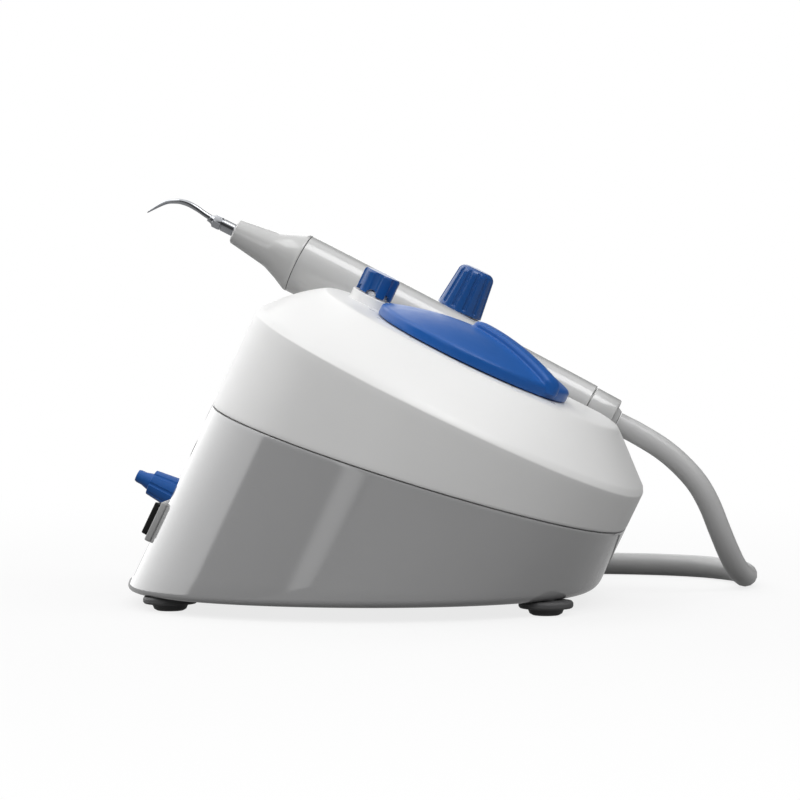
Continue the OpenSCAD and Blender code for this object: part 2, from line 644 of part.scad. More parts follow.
module water_valve() color([0.8, 0.65, 0.3]) water_frame() difference() {
  union() {
    translate([0, 0, valve_seat_h - valve_len]) cylinder(d = valve_d, h = valve_len, $fn = small);
    translate([0, 0, valve_seat_h - 1]) cylinder(d = valve_neck_d, h = valve_neck_h + 1, $fn = small);
    for (x = [-1, 1]) translate([valve_port_x * x, 0, valve_port_h])
      cylinder(d = hose_d, h = 5, $fn = small);
  }
  translate([0, 0, valve_seat_h - 9]) cylinder(d = spindle_d + 2 * run_gap, h = 40, $fn = small);
}
module solenoid_valve() color([0.2, 0.2, 0.22]) translate([solenoid_x, solenoid_y, floor_z]) {
  translate([-solenoid_l / 2, -solenoid_w / 2, 0]) cube([solenoid_l, solenoid_w, solenoid_base_h]);
  translate([0, 0, solenoid_base_h - 1]) cylinder(d = solenoid_coil_d, h = solenoid_coil_h, $fn = small);
  translate([1 - solenoid_l / 2, -yoke_w / 2, solenoid_base_h - 1])
    cube([solenoid_l - 2, yoke_w, solenoid_coil_h + yoke_t]);
  translate([-valve_port_x, port_len - port_out, port_z]) rotate([90, 0, 0])
    cylinder(d = hose_d, h = port_len, $fn = small);
  translate([port_out + 3 - port_len, 0, port_z]) rotate([0, 90, 0])
    cylinder(d = hose_d, h = port_len, $fn = small);
}
module water_hoses() color([0.85, 0.9, 0.95]) for (h = [inlet_hose, valve_hose, gland_hose])
  sweep_tube(smooth_path(h, 3), hose_d, 8);
module water_inlet() color(blue) rear_frame(inlet_y, inlet_h) difference() {
  rotate_extrude($fn = small) polygon([[0, -inlet_depth], [hose_d / 2, -inlet_depth], [hose_d / 2, -5],
    [inlet_thread_d / 2, -5], [inlet_thread_d / 2, 0], [5.6, 0], [5.6, 1.6], [5, 2],
    [inlet_collar_r, inlet_step], [inlet_nozzle_r + 0.6, inlet_step], [inlet_nozzle_r, inlet_step + 1.2],
    [inlet_nozzle_r, inlet_len - 0.8], [inlet_nozzle_r - 0.4, inlet_len], [0, inlet_len]]);
  translate([0, 0, inlet_len - 9]) cylinder(d = 2, h = 10, $fn = small);
  for (q = [0:45:359]) rotate([0, 0, q]) translate([5.5, 0, 2])
    rotate([0, -atan((5 - inlet_collar_r) / (inlet_step - 2)), 0])
    cylinder(r = 0.8, h = inlet_len, $fn = 16);
}
module inlet_nut() color(steel) rear_frame(inlet_y, inlet_h) translate([0, 0, -wall - 2.4]) difference() {
  cylinder(d = inlet_thread_d + 4.5, h = 2.4, $fn = 6);
  translate([0, 0, -1]) cylinder(d = inlet_thread_d + 2 * touch, h = 5, $fn = small);
}

// Boards and power parts on the floor of the lower shell
module at_spacers() for (x = [board_x + board_edge, board_x + board_l - board_edge]) for (y = [-1, 1])
  translate([x, y * (board_w / 2 - board_edge), 0]) children();
module board_spacers() color(steel) at_spacers() translate([0, 0, floor_z]) difference() {
  cylinder(d = spacer_d, h = board_z - floor_z, $fn = 6);
  translate([0, 0, 1]) cylinder(d = board_screw_d - 0.4, h = 20, $fn = small);
}
module generator_board() color([0.1, 0.4, 0.2]) difference() {
  translate([board_x, -board_w / 2, board_z]) cube([board_l, board_w, board_t]);
  at_spacers() translate([0, 0, board_z - 1]) cylinder(d = board_screw_d + 0.3, h = board_t + 2.4,
    $fn = small);
}
module board_screws() color(steel) at_spacers() translate([0, 0, board_z + board_t]) mirror([0, 0, 1])
  pan_screw(board_screw_d, board_screw_len);
module heat_sink() color([0.3, 0.3, 0.32]) translate([board_x + part_x, -sink_w / 2, board_z + board_t]) {
  cube([part_l, sink_w, sink_base]);
  for (k = [0:fins - 1]) translate([k * (part_l - fin_t) / (fins - 1), 0, sink_base - 0.5])
    cube([fin_t, sink_w, fin_h + 0.5]);
}
module board_parts() color([0.25, 0.25, 0.3]) translate([board_x, 0, board_z + board_t]) {
  for (y = [-cap_y, cap_y]) translate([cap_x, y, 0]) cylinder(d = cap_d, h = cap_h, $fn = small);
  translate([part_x, sink_w / 2 + 4, 0]) cube([part_l, part_w, part_h]);
  translate([part_x, -sink_w / 2 - 4 - part_w, 0]) cube([part_l, part_w, low_part_h]);
  translate([board_l - 1.5 - plug_row_w, -plug_row_l / 2, 0]) cube([plug_row_w, plug_row_l, low_part_h]);
}
module transformer() color([0.75, 0.45, 0.15]) translate([trafo_x, trafo_y, floor_z])
  rotate_extrude($fn = fine) translate([trafo_in, 0])
    rounded_rect(trafo_out - trafo_in, trafo_h, trafo_round);
module rounded_rect(w, h, r) {
  translate([r, 0]) square([w - 2 * r, h]);
  translate([0, r]) square([w, h - 2 * r]);
  for (x = [r, w - r]) for (y = [r, h - r]) translate([x, y]) circle(r = r, $fn = small);
}
module transformer_clamp() color(steel) translate([trafo_x, trafo_y, floor_z]) {
  cylinder(d = clamp_bolt_d, h = trafo_h + 1, $fn = small);
  translate([0, 0, trafo_h]) cylinder(d = clamp_d, h = clamp_t, $fn = small);
  translate([0, 0, trafo_h + clamp_t - 0.5]) cylinder(d = clamp_nut_d, h = 3, $fn = 6);
}

// Rear panel
module switch_bezel() color([0.6, 0.6, 0.6]) rear_frame(switch_y, switch_h) difference() {
  union() {
    translate([-switch_w / 2, -switch_l / 2, 0]) linear_extrude(switch_lip)
      rounded_rect(switch_w, switch_l, 1.2);
    translate([-switch_body_w / 2, -switch_body_l / 2, -switch_depth])
      cube([switch_body_w, switch_body_l, switch_depth + 0.5]);
  }
  translate([-rocker_w / 2 - rocker_gap, -rocker_r - rocker_gap, rocker_pivot - 4.8])
    cube([rocker_w + 2 * rocker_gap, 2 * (rocker_r + rocker_gap), 10]);
  translate([-rocker_w / 2 - 1.2, 0, rocker_pivot]) rotate([0, 90, 0])
    cylinder(d = pin_d + 2 * run_gap, h = rocker_w + 2.4, $fn = small);
}
module power_rocker() color([0.05, 0.05, 0.05]) rear_frame(switch_y, switch_h)
  translate([0, 0, rocker_pivot])
  rotate([-rocker_throw / 2, 0, 0]) {
  intersection() {
    translate([-rocker_w / 2, 0, 0]) rotate([0, 90, 0]) cylinder(r = rocker_r, h = rocker_w, $fn = fine);
    translate([-rocker_w / 2, 0, 0]) rotate([90, 0, 90]) linear_extrude(rocker_w)
      polygon([[-rocker_r - 1, -2], [rocker_r + 1, -2], [rocker_r + 1, rocker_end_h], [0, rocker_mid_h],
        [-rocker_r - 1, rocker_end_h]]);
  }
  translate([-rocker_w / 2 - 1, 0, 0]) rotate([0, 90, 0]) cylinder(d = pin_d, h = rocker_w + 2, $fn = small);
}
module mains_inlet() color([0.08, 0.08, 0.08]) rear_frame(mains_y, mains_h) {
  difference() {
    union() {
      translate([-mains_w / 2, -mains_l / 2, 0]) linear_extrude(mains_lip)
        rounded_rect(mains_w, mains_l, 1.5);
      translate([-mains_body_w / 2, -mains_body_l / 2, -mains_depth])
        cube([mains_body_w, mains_body_l, mains_depth + 0.5]);
    }
    translate([-mains_hole_w / 2, -mains_hole_l / 2, -mains_hole_depth]) linear_extrude(20)
      rounded_rect(mains_hole_w, mains_hole_l, mains_hole_w / 2 - 0.1);
  }
  for (y = [-1, 1]) translate([0, y * mains_pin_gap / 2, -mains_hole_depth - 0.5])
    cylinder(d = mains_pin_d, h = mains_pin_len, $fn = small);
}
module fuse_holder() color([0.08, 0.08, 0.08]) rear_frame(fuse_y, fuse_h) difference() {
  union() {
    cylinder(d = fuse_cap_d, h = fuse_cap_h, $fn = small);
    translate([0, 0, -fuse_depth]) cylinder(d = fuse_d, h = fuse_depth + 1, $fn = small);
  }
  translate([-fuse_slot_w / 2, -fuse_d / 2, fuse_cap_h - 1]) cube([fuse_slot_w, fuse_d, 2]);
}
module footswitch_socket() color(steel) rear_frame(socket_y, socket_h) difference() {
  union() {
    cylinder(d = socket_flange_d, h = socket_lip, $fn = small);
    translate([0, 0, -socket_len]) cylinder(d = socket_d, h = socket_len + 1, $fn = small);
  }
  translate([0, 0, socket_lip - socket_depth]) cylinder(d = socket_bore, h = 20, $fn = small);
}

// Handpiece, built along its own axis from the collar's end
function hand_radius(z) = hand_rear_r
  + (hand_r - 0.1 - hand_rear_r) * (1 - pow(max(0, 1 - (z - collar_len) / (ring_z - collar_len)), 1.4));
body_steps = [for (k = [0:12]) mix(collar_len + 0.2, ring_z, k / 12)];
module handpiece_body() color(hand_white) hand_frame() rotate_extrude($fn = fine) polygon(concat(
  [for (z = body_steps) [hand_radius(z), z]],
  [for (k = [12:-1:0]) [hand_radius(body_steps[k]) - hand_wall, body_steps[k]]]));
module handpiece_collar() color(hand_white) hand_frame() rotate_extrude($fn = fine) polygon([
  [relief_r + touch, 0], [hand_rear_r - 0.9, 0], [hand_rear_r - 0.65, 0.4], [hand_rear_r - 0.4, collar_len],
  [hand_rear_r - hand_wall - 0.05, collar_len], [hand_rear_r - hand_wall - 0.05, collar_len + 5.5],
  [relief_r + touch, collar_len + 5.5]]);
module cord_relief() color([0.5, 0.5, 0.5]) hand_frame() rotate_extrude($fn = small) polygon([
  [0, -relief_proud], [cord_d / 2 + 0.2, -relief_proud], [relief_r, 0], [relief_r, collar_len + 4],
  [0, collar_len + 4]]);
module nose_seal() color(dark) hand_frame() rotate_extrude($fn = fine) polygon([
  [seal_r, ring_z + 0.02], [hand_r - 0.35, ring_z + 0.02], [hand_r - 0.35, ring_z + seal_t - 0.02],
  [seal_r, ring_z + seal_t - 0.02]]);
nose_z = ring_z + seal_t;
module nose_cone() color(hand_white) hand_frame() rotate_extrude($fn = fine) polygon([
  [hand_r - 0.1, nose_z], [hand_r, nose_z + 0.3], [hand_r - 0.1, nose_z + 0.9],
  [mix(hand_r, nose_mid_r, 0.55), nose_z + 4.9],
  [nose_mid_r + 0.12, nose_mid_z - 0.7], [nose_mid_r - 0.18, nose_mid_z + 0.7], [nose_r, hand_len - 0.3],
  [nose_r - 0.3, hand_len], [nose_bore_r, hand_len], [nose_bore_r, hand_len - 3],
  [nose_mid_r - hand_wall, nose_mid_z],
  [seal_r - 1, nose_z], [seal_r - 1, ring_z - 4], [seal_r - 0.05, ring_z - 4], [seal_r - 0.05, nose_z]]);
module transducer_horn() color(steel) hand_frame() difference() {
  rotate_extrude($fn = fine) polygon([[0, horn_z], [horn_r, horn_z], [horn_r, horn_z + 1],
    [horn_flange_r, horn_z + 1], [horn_flange_r, horn_z + 3], [horn_front_r, horn_z + 3],
    [horn_front_r, horn_z + 7], [horn_front_r - 1.6, nose_mid_z - 3],
    [horn_neck_r, nose_mid_z + 4], [horn_neck_r - 0.1, hand_len + 0.1],
    [stud_r, hand_len + 0.1], [stud_r, hand_len + stud_len], [0, hand_len + stud_len]]);
  translate([0, 0, horn_z - 1]) cylinder(r = bolt_r + touch, h = 5, $fn = small);
}
module piezo_rings() color([0.8, 0.75, 0.6]) hand_frame() for (k = [0:3])
  translate([0, 0, horn_z - ring_step * (k + 1)]) difference() {
    cylinder(r = ring_r, h = ring_t, $fn = fine);
    translate([0, 0, -1]) cylinder(r = bolt_r + 0.1, h = ring_t + 2.2, $fn = small);
  }
mass_z = horn_z - 4 * ring_step - 0.05;
module back_mass() color(steel) hand_frame() rotate_extrude($fn = fine) polygon([
  [0, mass_z - mass_len - 2], [bolt_head_r, mass_z - mass_len - 2], [bolt_head_r, mass_z - mass_len],
  [ring_r, mass_z - mass_len], [ring_r, mass_z], [bolt_r, mass_z], [bolt_r, horn_z + 3.8],
  [0, horn_z + 3.8]]);
tip_points = [[8.3, 0], [11, 0.3], [14, 0.8], [16.6, 1], [18.8, 0.7], [20.8, -0.1], [23, -1.5],
  [25, -3.9], [27.2, -7.2]];
tip_radii = [1.15, 1.08, 1.03, 0.95, 0.85, 0.74, 0.62, 0.46, 0.18];
module tip_blade() {
  path = smooth_path([for (p = tip_points) [p[1], 0, hand_len + p[0]]], 3);
  radii = smooth_path([for (r = tip_radii) [r, 0, 0]], 3);
  loft([for (i = [0:len(path) - 1])
    let (t = heading(path, i), s = [0, 1, 0], u = cross(s, t))
    [for (k = [0:11]) path[i] + radii[i][0] * (cos(30 * k) * u + sin(30 * k) * s)]]);
}
module scaler_tip() color(steel) hand_frame() difference() {
  union() {
    translate([0, 0, hand_len + tip_base_gap]) cylinder(r = tip_base_r, h = tip_base_len - tip_base_gap,
      $fn = small);
    translate([0, 0, hand_len + tip_base_len - 2.5]) cylinder(r = tip_hex_r, h = 2.6, $fn = 6);
    translate([0, 0, hand_len + tip_base_len - 0.1])
      cylinder(r1 = 1.9, r2 = tip_radii[0], h = 1.4, $fn = small);
    tip_blade();
  }
  translate([0, 0, hand_len - 1]) cylinder(r = stud_r + touch, h = stud_len + 1.4, $fn = small);
}

// Cord: from the handpiece down to the table, a coil behind the body, and back in at the gland
module cord_gland() color(dark) gland_frame() rotate_extrude($fn = small) polygon([
  [0, -gland_inner], [gland_thread_d / 2, -gland_inner], [gland_thread_d / 2, 0],
  [gland_seat_d / 2 - 1, 0], [gland_seat_d / 2 - 1, 5.4],
  [gland_seat_d / 2 - 1.8, 6.2], [cord_d / 2 + 2.4, 6.6], [cord_d / 2 + 0.7, gland_len], [0, gland_len]]);
module handpiece_cord() color([0.8, 0.8, 0.8])
  sweep_tube(smooth_path(cord_route, 2), cord_d, 8);
module cord_tail() color([0.8, 0.8, 0.8])
  sweep_tube(smooth_path(tail_route, 2), cord_d, 8);
module cord_coil() color([0.8, 0.8, 0.8]) translate(coil_centre) rotate_extrude($fn = fine)
  translate([coil_mid_r - cord_d - 0.1, 0]) rounded_rect(2 * cord_d + 0.2, coil_layers * cord_d, cord_d / 2);
module cord_tie() color(dark) translate(coil_centre) rotate([0, 0, 120]) difference() {
  translate([coil_mid_r - cord_d - seat_gap - tie_t, -tie_w / 2, 0])
    cube([2 * (cord_d + seat_gap + tie_t), tie_w, coil_layers * cord_d + 0.2 + tie_t]);
  rotate_extrude($fn = fine) translate([coil_mid_r - cord_d - seat_gap, -1])
    square([2 * (cord_d + seat_gap), coil_layers * cord_d + 1.3]);
}

upper_shell();
lower_shell();
rubber_feet();
case_screws();
power_dial();
dial_shaft();
power_control();
control_nut();
mode_knob();
mode_shaft();
mode_switch();
control_board();
water_knob();
valve_spindle();
water_valve();
solenoid_valve();
water_hoses();
water_inlet();
inlet_nut();
generator_board();
board_spacers();
board_screws();
heat_sink();
board_parts();
transformer();
transformer_clamp();
switch_bezel();
power_rocker();
mains_inlet();
fuse_holder();
footswitch_socket();
handpiece_body();
nose_cone();
nose_seal();
handpiece_collar();
transducer_horn();
piezo_rings();
back_mass();
scaler_tip();
cord_relief();
cord_gland();
handpiece_cord();
cord_coil();
cord_tail();
cord_tie();
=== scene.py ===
# Tabletop ultrasonic dental scaler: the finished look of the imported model, in metres
import math

import bmesh
import bpy
from mathutils import Matrix, Vector


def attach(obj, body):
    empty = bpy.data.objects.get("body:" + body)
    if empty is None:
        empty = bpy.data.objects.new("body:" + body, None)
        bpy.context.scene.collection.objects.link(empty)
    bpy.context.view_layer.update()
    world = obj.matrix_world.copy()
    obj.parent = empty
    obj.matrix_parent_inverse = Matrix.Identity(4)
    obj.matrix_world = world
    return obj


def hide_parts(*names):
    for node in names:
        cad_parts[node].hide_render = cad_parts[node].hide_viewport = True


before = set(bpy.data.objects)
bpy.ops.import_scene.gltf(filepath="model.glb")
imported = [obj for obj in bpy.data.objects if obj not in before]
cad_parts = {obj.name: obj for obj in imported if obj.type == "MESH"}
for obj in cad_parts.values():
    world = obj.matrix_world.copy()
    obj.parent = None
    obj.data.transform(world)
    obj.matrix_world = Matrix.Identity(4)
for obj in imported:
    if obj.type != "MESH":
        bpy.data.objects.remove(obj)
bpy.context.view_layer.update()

mm = 0.001
turn = 2 * math.pi

# Driving sizes of the body, as in the part's source
body_len = 126 * mm
body_wide = 132.4 * mm
deck_tilt = math.radians(25.6)
pivot = Vector((-2.73, 0, 10.7)) * mm
crease_h = 54.8 * mm
bevel_h = 13.9 * mm
plate_len = 95.4 * mm
plate_wide = 87 * mm
plate_crown = 0.5 * mm
wall = 2.5 * mm
seam_z = 44.1 * mm
seam_slope = -math.tan(math.radians(17.1))
seam_gap = 0.3 * mm
ground_gap = 4.1 * mm
bottom_round, crease_round = 2.4 * mm, 1.1 * mm
seam_lip = 0.35 * mm
end_power = 2
side_power = 2.54
plate_power = 2.3
bevel_bow_rear = 0.45

half_len = body_len / 2
half_wide = body_wide / 2
plate_edge_h = crease_h + bevel_h
panel_x = half_len - 2.7 * mm

# Places and sizes of what the deck carries
dial_x, dial_y, dial_r = 0.5 * mm, -8.9 * mm, 30.5 * mm
dial_base_h = plate_edge_h + plate_crown + 0.3 * mm
dial_top, dial_rim_h = 8.4 * mm, 3 * mm
rib_wide, rib_high, rib_reach, rib_angle = 7.4 * mm, 2.3 * mm, 1.5 * mm, math.radians(30)
rib_end = dial_r + rib_reach - rib_wide / 2
mode_x, mode_y = -35.3 * mm, 6 * mm
mode_r, mode_h = 5.7 * mm, 7 * mm
mode_boss_h = dial_base_h + 2.3 * mm
mode_boss_r = mode_r + 0.7 * mm
mode_ring_r, mode_ring_h = 4 * mm, 1.5 * mm
water_x, water_y = -13.9 * mm, 51 * mm
water_r, water_top_r, water_h = 7.3 * mm, 5.9 * mm, 14 * mm
water_boss_h = plate_edge_h + 7.1 * mm
water_boss_r = water_r + 0.8 * mm
hand_len, hand_y = 129.7 * mm, 33 * mm
hand_x, hand_h = 44.3 * mm, 68.1 * mm
hand_tilt = math.radians(0.8)
channel_r, trough_r = 9.8 * mm, 11.8 * mm
cord_d = 7 * mm
gland_x, gland_z = 11 * mm, 24 * mm
screw_spots = [(x * mm, y * mm) for x in (-23.5, 32.5) for y in (-42, 42)]
foot_spots = [((-2.83 + x * 54.75) * mm, y * 36 * mm) for x in (-1, 1) for y in (-1, 1)]


def deck_place(x=0.0, y=0.0, h=0.0):
    """Matrix of a frame that stands square on the deck"""
    slope = Matrix.Rotation(deck_tilt, 4, "Y")
    return Matrix.Translation(pivot) @ slope @ Matrix.Translation((x, y, h))


dial_frame = deck_place(dial_x, dial_y, dial_base_h)
mode_frame = deck_place(mode_x, mode_y, 0)
water_frame = deck_place(water_x, water_y, 0)
hand_frame = deck_place(hand_x, hand_y, hand_h - hand_x * math.tan(hand_tilt)) \
    @ Matrix.Rotation(hand_tilt - turn / 4, 4, "Y")
gland_frame = Matrix.Translation((gland_x, half_wide, gland_z)) @ Matrix.Rotation(-turn / 4, 4, "X")


def rear_place(y, h):
    """Matrix of a frame whose Z stands out of the rear panel and whose X runs up it"""
    return deck_place(-panel_x, y, h) @ Matrix.Rotation(-turn / 4, 4, "Y")


# Camera, at the photograph's angle and distance
def aim_camera():
    yaw, rise, distance = math.radians(6.95), math.radians(2.63), 1.1
    target = Vector((5.32, 0, 59.86)) * mm
    away = Vector((math.sin(yaw) * math.cos(rise), -math.cos(yaw) * math.cos(rise), math.sin(rise)))
    data = bpy.data.cameras.new("photo_camera")
    data.lens, data.sensor_width = 166.3, 36
    camera = bpy.data.objects.new("photo_camera", data)
    camera.matrix_world = away.to_track_quat("Z", "Y").to_matrix().to_4x4()
    camera.location = target + distance * away
    bpy.context.scene.collection.objects.link(camera)
    bpy.context.scene.camera = camera


aim_camera()


# Materials
noise_span = (0.3, 0.7)  # most values of a noise lie between these


def grey(level):
    return (level, level, level, 1)


def add_node(tree, kind, operation=None, **values):
    """A shader node with plain values on its inputs; an underscore in a name stands for a space"""
    node = tree.nodes.new("ShaderNode" + kind)
    if operation:
        node.operation = operation
    for name, value in values.items():
        node.inputs[name.replace("_", " ")].default_value = value
    return node


def new_material(name, colour, rough, metal=0.0, coat=0.0, coat_rough=0.1, specular=0.5):
    """A principled material with its plain values set on its own sockets"""
    mat = bpy.data.materials.new(name)
    mat.use_nodes = True
    shader = mat.node_tree.nodes["Principled BSDF"]
    values = {"Base Color": (*colour, 1), "Roughness": rough, "Metallic": metal, "Coat Weight": coat,
              "Coat Roughness": coat_rough, "Specular IOR Level": specular}
    for socket, value in values.items():
        shader.inputs[socket].default_value = value
    mat.diffuse_color = (*colour, 1)
    return mat, mat.node_tree, shader


def noise_on_object(tree, scale, detail, stretch=(1, 1, 1)):
    """Noise over object coordinates, in metres"""
    coord = add_node(tree, "TexCoord")
    mapping = add_node(tree, "Mapping", Scale=stretch)
    noise = add_node(tree, "TexNoise", Scale=scale, Detail=detail)
    tree.links.new(coord.outputs["Object"], mapping.inputs["Vector"])
    tree.links.new(mapping.outputs["Vector"], noise.inputs["Vector"])
    return noise


def vary_colour(tree, shader, source, low, high):
    ramp = add_node(tree, "ValToRGB")
    for stop, at, colour in zip(ramp.color_ramp.elements, noise_span, (low, high)):
        stop.position = at
        stop.color = (*colour, 1)
    tree.links.new(source.outputs["Fac"], ramp.inputs["Fac"])
    tree.links.new(ramp.outputs["Color"], shader.inputs["Base Color"])


def vary_rough(tree, shader, source, low, high):
    span = add_node(tree, "MapRange", From_Min=noise_span[0], From_Max=noise_span[1], To_Min=low, To_Max=high)
    tree.links.new(source.outputs["Fac"], span.inputs["Value"])
    tree.links.new(span.outputs["Result"], shader.inputs["Roughness"])


def add_bump(tree, shader, source, depth):
    bump = add_node(tree, "Bump", Distance=depth, Strength=1)
    tree.links.new(source.outputs["Fac"], bump.inputs["Height"])
    tree.links.new(bump.outputs["Normal"], shader.inputs["Normal"])


def shade(colour, factor):
    return tuple(min(1.0, c * factor) for c in colour)


def moulded(name, colour, rough, spread, coat=0.0, coat_rough=0.1, grain=2600, grain_depth=0.012 * mm,
            specular=0.5):
    """Injection-moulded plastic: faint cloudiness, uneven gloss and a very fine grain"""
    mat, tree, shader = new_material(name, colour, rough, coat=coat, coat_rough=coat_rough, specular=specular)
    cloud = noise_on_object(tree, 38, 2)
    vary_colour(tree, shader, cloud, shade(colour, 1 - spread), shade(colour, 1 + spread))
    vary_rough(tree, shader, noise_on_object(tree, 210, 4), rough * 0.88, rough * 1.14)
    add_bump(tree, shader, noise_on_object(tree, grain, 2), grain_depth)
    return mat


def turned_metal(name, colour, rough, depth=0.01 * mm):
    """Machined metal: fine lathe marks across one axis"""
    mat, tree, shader = new_material(name, colour, rough, metal=1.0)
    marks = noise_on_object(tree, 900, 2, (1, 1, 12))
    vary_colour(tree, shader, noise_on_object(tree, 120, 2), shade(colour, 0.93), shade(colour, 1.05))
    vary_rough(tree, shader, marks, rough * 0.8, rough * 1.3)
    add_bump(tree, shader, marks, depth)
    return mat


white_plastic = moulded("white_plastic", (0.83, 0.83, 0.825), 0.34, 0.012, grain_depth=0.02 * mm)
grey_plastic = moulded("grey_plastic", (0.41, 0.41, 0.414), 0.1, 0.015, 0.7, 0.05, grain_depth=0.002 * mm)
blue_plastic = moulded("blue_plastic", (0.011, 0.098, 0.37), 0.33, 0.04, grain_depth=0.002 * mm, specular=0.3)
knob_blue = moulded("knob_blue", (0.01, 0.075, 0.27), 0.22, 0.05, grain_depth=0.002 * mm)
handpiece_white = moulded("handpiece_white", (0.53, 0.53, 0.526), 0.18, 0.012, 0.8)
black_plastic = moulded("black_plastic", (0.012, 0.012, 0.013), 0.3, 0.1)
rocker_black = moulded("rocker_black", (0.008, 0.008, 0.008), 0.6, 0.1, specular=0.15)
bezel_grey = moulded("bezel_grey", (0.42, 0.42, 0.42), 0.4, 0.03)
foot_rubber = moulded("foot_rubber", (0.09, 0.09, 0.092), 0.6, 0.15, grain=1600, grain_depth=0.05 * mm)
seal_rubber = moulded("seal_rubber", (0.03, 0.03, 0.032), 0.55, 0.1, grain=2400, grain_depth=0.03 * mm)
cord_grey = moulded("cord_grey", (0.5, 0.5, 0.5), 0.38, 0.03, 0.1, grain=1500, grain_depth=0.03 * mm)
board_green = moulded("board_green", (0.015, 0.12, 0.05), 0.35, 0.2, 0.4, grain=700)
winding = moulded("winding", (0.42, 0.15, 0.03), 0.4, 0.25, 0.5, grain=1200, grain_depth=0.08 * mm)
ceramic = moulded("ceramic", (0.62, 0.54, 0.38), 0.5, 0.06)
hose_plastic = moulded("hose_plastic", (0.7, 0.76, 0.8), 0.2, 0.03, 0.5)
print_ink = moulded("print_ink", (0.09, 0.1, 0.13), 0.5, 0.1)
steel = turned_metal("steel", (0.58, 0.58, 0.6), 0.28)
brass = turned_metal("brass", (0.72, 0.5, 0.2), 0.3)
dark_metal = turned_metal("dark_metal", (0.06, 0.06, 0.065), 0.4)
tip_chrome = turned_metal("tip_chrome", (0.4, 0.41, 0.43), 0.08, 0.001 * mm)


# Shaping helpers: each starts from a primitive and works in edit mode
def nothing_selected():
    if bpy.context.object and bpy.context.object.mode != "OBJECT":
        bpy.ops.object.mode_set(mode="OBJECT")
    bpy.ops.object.select_all(action="DESELECT")


def only(piece):
    nothing_selected()
    piece.select_set(True)
    bpy.context.view_layer.objects.active = piece


def loft(name, rings, start, end, closed=False):
    """Skin through rings of points: a circle, extruded ring by ring. An end is open, flat or a point"""
    nothing_selected()
    count = len(rings[0])
    bpy.ops.mesh.primitive_circle_add(vertices=count, radius=mm, fill_type="NOTHING")
    piece = bpy.context.object
    piece.name = name
    bpy.ops.object.mode_set(mode="EDIT")
    mesh = bmesh.from_edit_mesh(piece.data)
    station = mesh.verts.layers.int.new("station")
    level = mesh.verts.layers.int.new("level")
    mesh.verts.ensure_lookup_table()
    for i in range(count):
        mesh.verts[i][station] = i
        mesh.verts[i].co = rings[0][i]
    for number, ring in enumerate(rings[1:], 1):
        bpy.ops.mesh.extrude_region_move()
        mesh = bmesh.from_edit_mesh(piece.data)
        station = mesh.verts.layers.int["station"]
        level = mesh.verts.layers.int["level"]
        for v in mesh.verts:
            if v.select:
                v.co = ring[v[station]]
                v[level] = number
    if closed:
        choose(piece, (0, len(rings) - 1))
        bpy.ops.mesh.bridge_edge_loops()
    for side, kind in ((len(rings) - 1, end), (0, start)):
        if kind == "open" or closed:
            continue
        choose(piece, (side,))
        if kind == "flat":
            bpy.ops.mesh.edge_face_add()
        else:
            bpy.ops.mesh.merge(type="CENTER")
    bpy.ops.mesh.select_all(action="SELECT")
    bpy.ops.mesh.normals_make_consistent(inside=False)
    bpy.ops.object.mode_set(mode="OBJECT")
    return piece


def choose(piece, numbers):
    """Selects the vertices of the rings with these numbers"""
    bpy.ops.mesh.select_mode(type="VERT")
    bpy.ops.mesh.select_all(action="DESELECT")
    mesh = bmesh.from_edit_mesh(piece.data)
    level = mesh.verts.layers.int["level"]
    for v in mesh.verts:
        v.select = v[level] in numbers
    mesh.select_flush_mode()
    bmesh.update_edit_mesh(piece.data)


point_r = 0.001 * mm  # the last ring before an end closes to a point


def circle(r, z, count):
    return [Vector((r * math.cos(turn * i / count), r * math.sin(turn * i / count), z)) for i in range(count)]


def turned(name, outline, count):
    """Round piece about Z from its outline of radii and heights, in millimetres; a radius of 0 closes it"""
    rings = [circle(max(r * mm, point_r), z * mm, count) for r, z in outline]
    start, end = ["open" if r else "point" for r, z in (outline[0], outline[-1])]
    return loft(name, rings, start, end, closed=start == end == "open")


def rounded(points, radius, steps=5):
    """Outline with each inner corner turned into an arc of the given radius"""
    out = [points[0]]
    for before, here, after in zip(points, points[1:], points[2:]):
        a = Vector(before) - Vector(here)
        b = Vector(after) - Vector(here)
        if a.length < 1e-6 or b.length < 1e-6:
            out.append(here)
            continue
        bend = math.pi - a.angle(b)
        cut = min(radius * math.tan(bend / 2), a.length * 0.45, b.length * 0.45)
        start, finish = Vector(here) + a.normalized() * cut, Vector(here) + b.normalized() * cut
        for k in range(steps + 1):
            t = k / steps
            point = start * (1 - t) ** 2 + Vector(here) * 2 * t * (1 - t) + finish * t * t
            out.append((point.x, point.y))
    return out + [points[-1]]


def block(name, low, high, bevel=0.0):
    """Box between two corners, with rounded edges"""
    nothing_selected()
    centre = [(a + b) / 2 for a, b in zip(low, high)]
    size = [b - a for a, b in zip(low, high)]
    bpy.ops.mesh.primitive_cube_add(size=1, location=centre)
    piece = bpy.context.object
    piece.name = name
    piece.scale = size
    bpy.ops.object.transform_apply(location=True, rotation=True, scale=True)
    if bevel:
        soften(piece, bevel)
    return piece


def soften(piece, width, angle=30, segments=3):
    """Rounds the sharp edges"""
    only(piece)
    rounding = piece.modifiers.new("rounding", "BEVEL")
    rounding.width = width
    rounding.segments = segments
    rounding.limit_method = "ANGLE"
    rounding.angle_limit = math.radians(angle)
    bpy.ops.object.modifier_apply(modifier="rounding")
    return piece


def combine(piece, others, how):
    """Boolean of a piece with others, which are used up"""
    only(piece)
    for other in others:
        step = piece.modifiers.new("joint", "BOOLEAN")
        step.operation, step.object, step.solver = how, other, "EXACT"
        bpy.ops.object.modifier_apply(modifier="joint")
        bpy.data.objects.remove(other)
    return piece


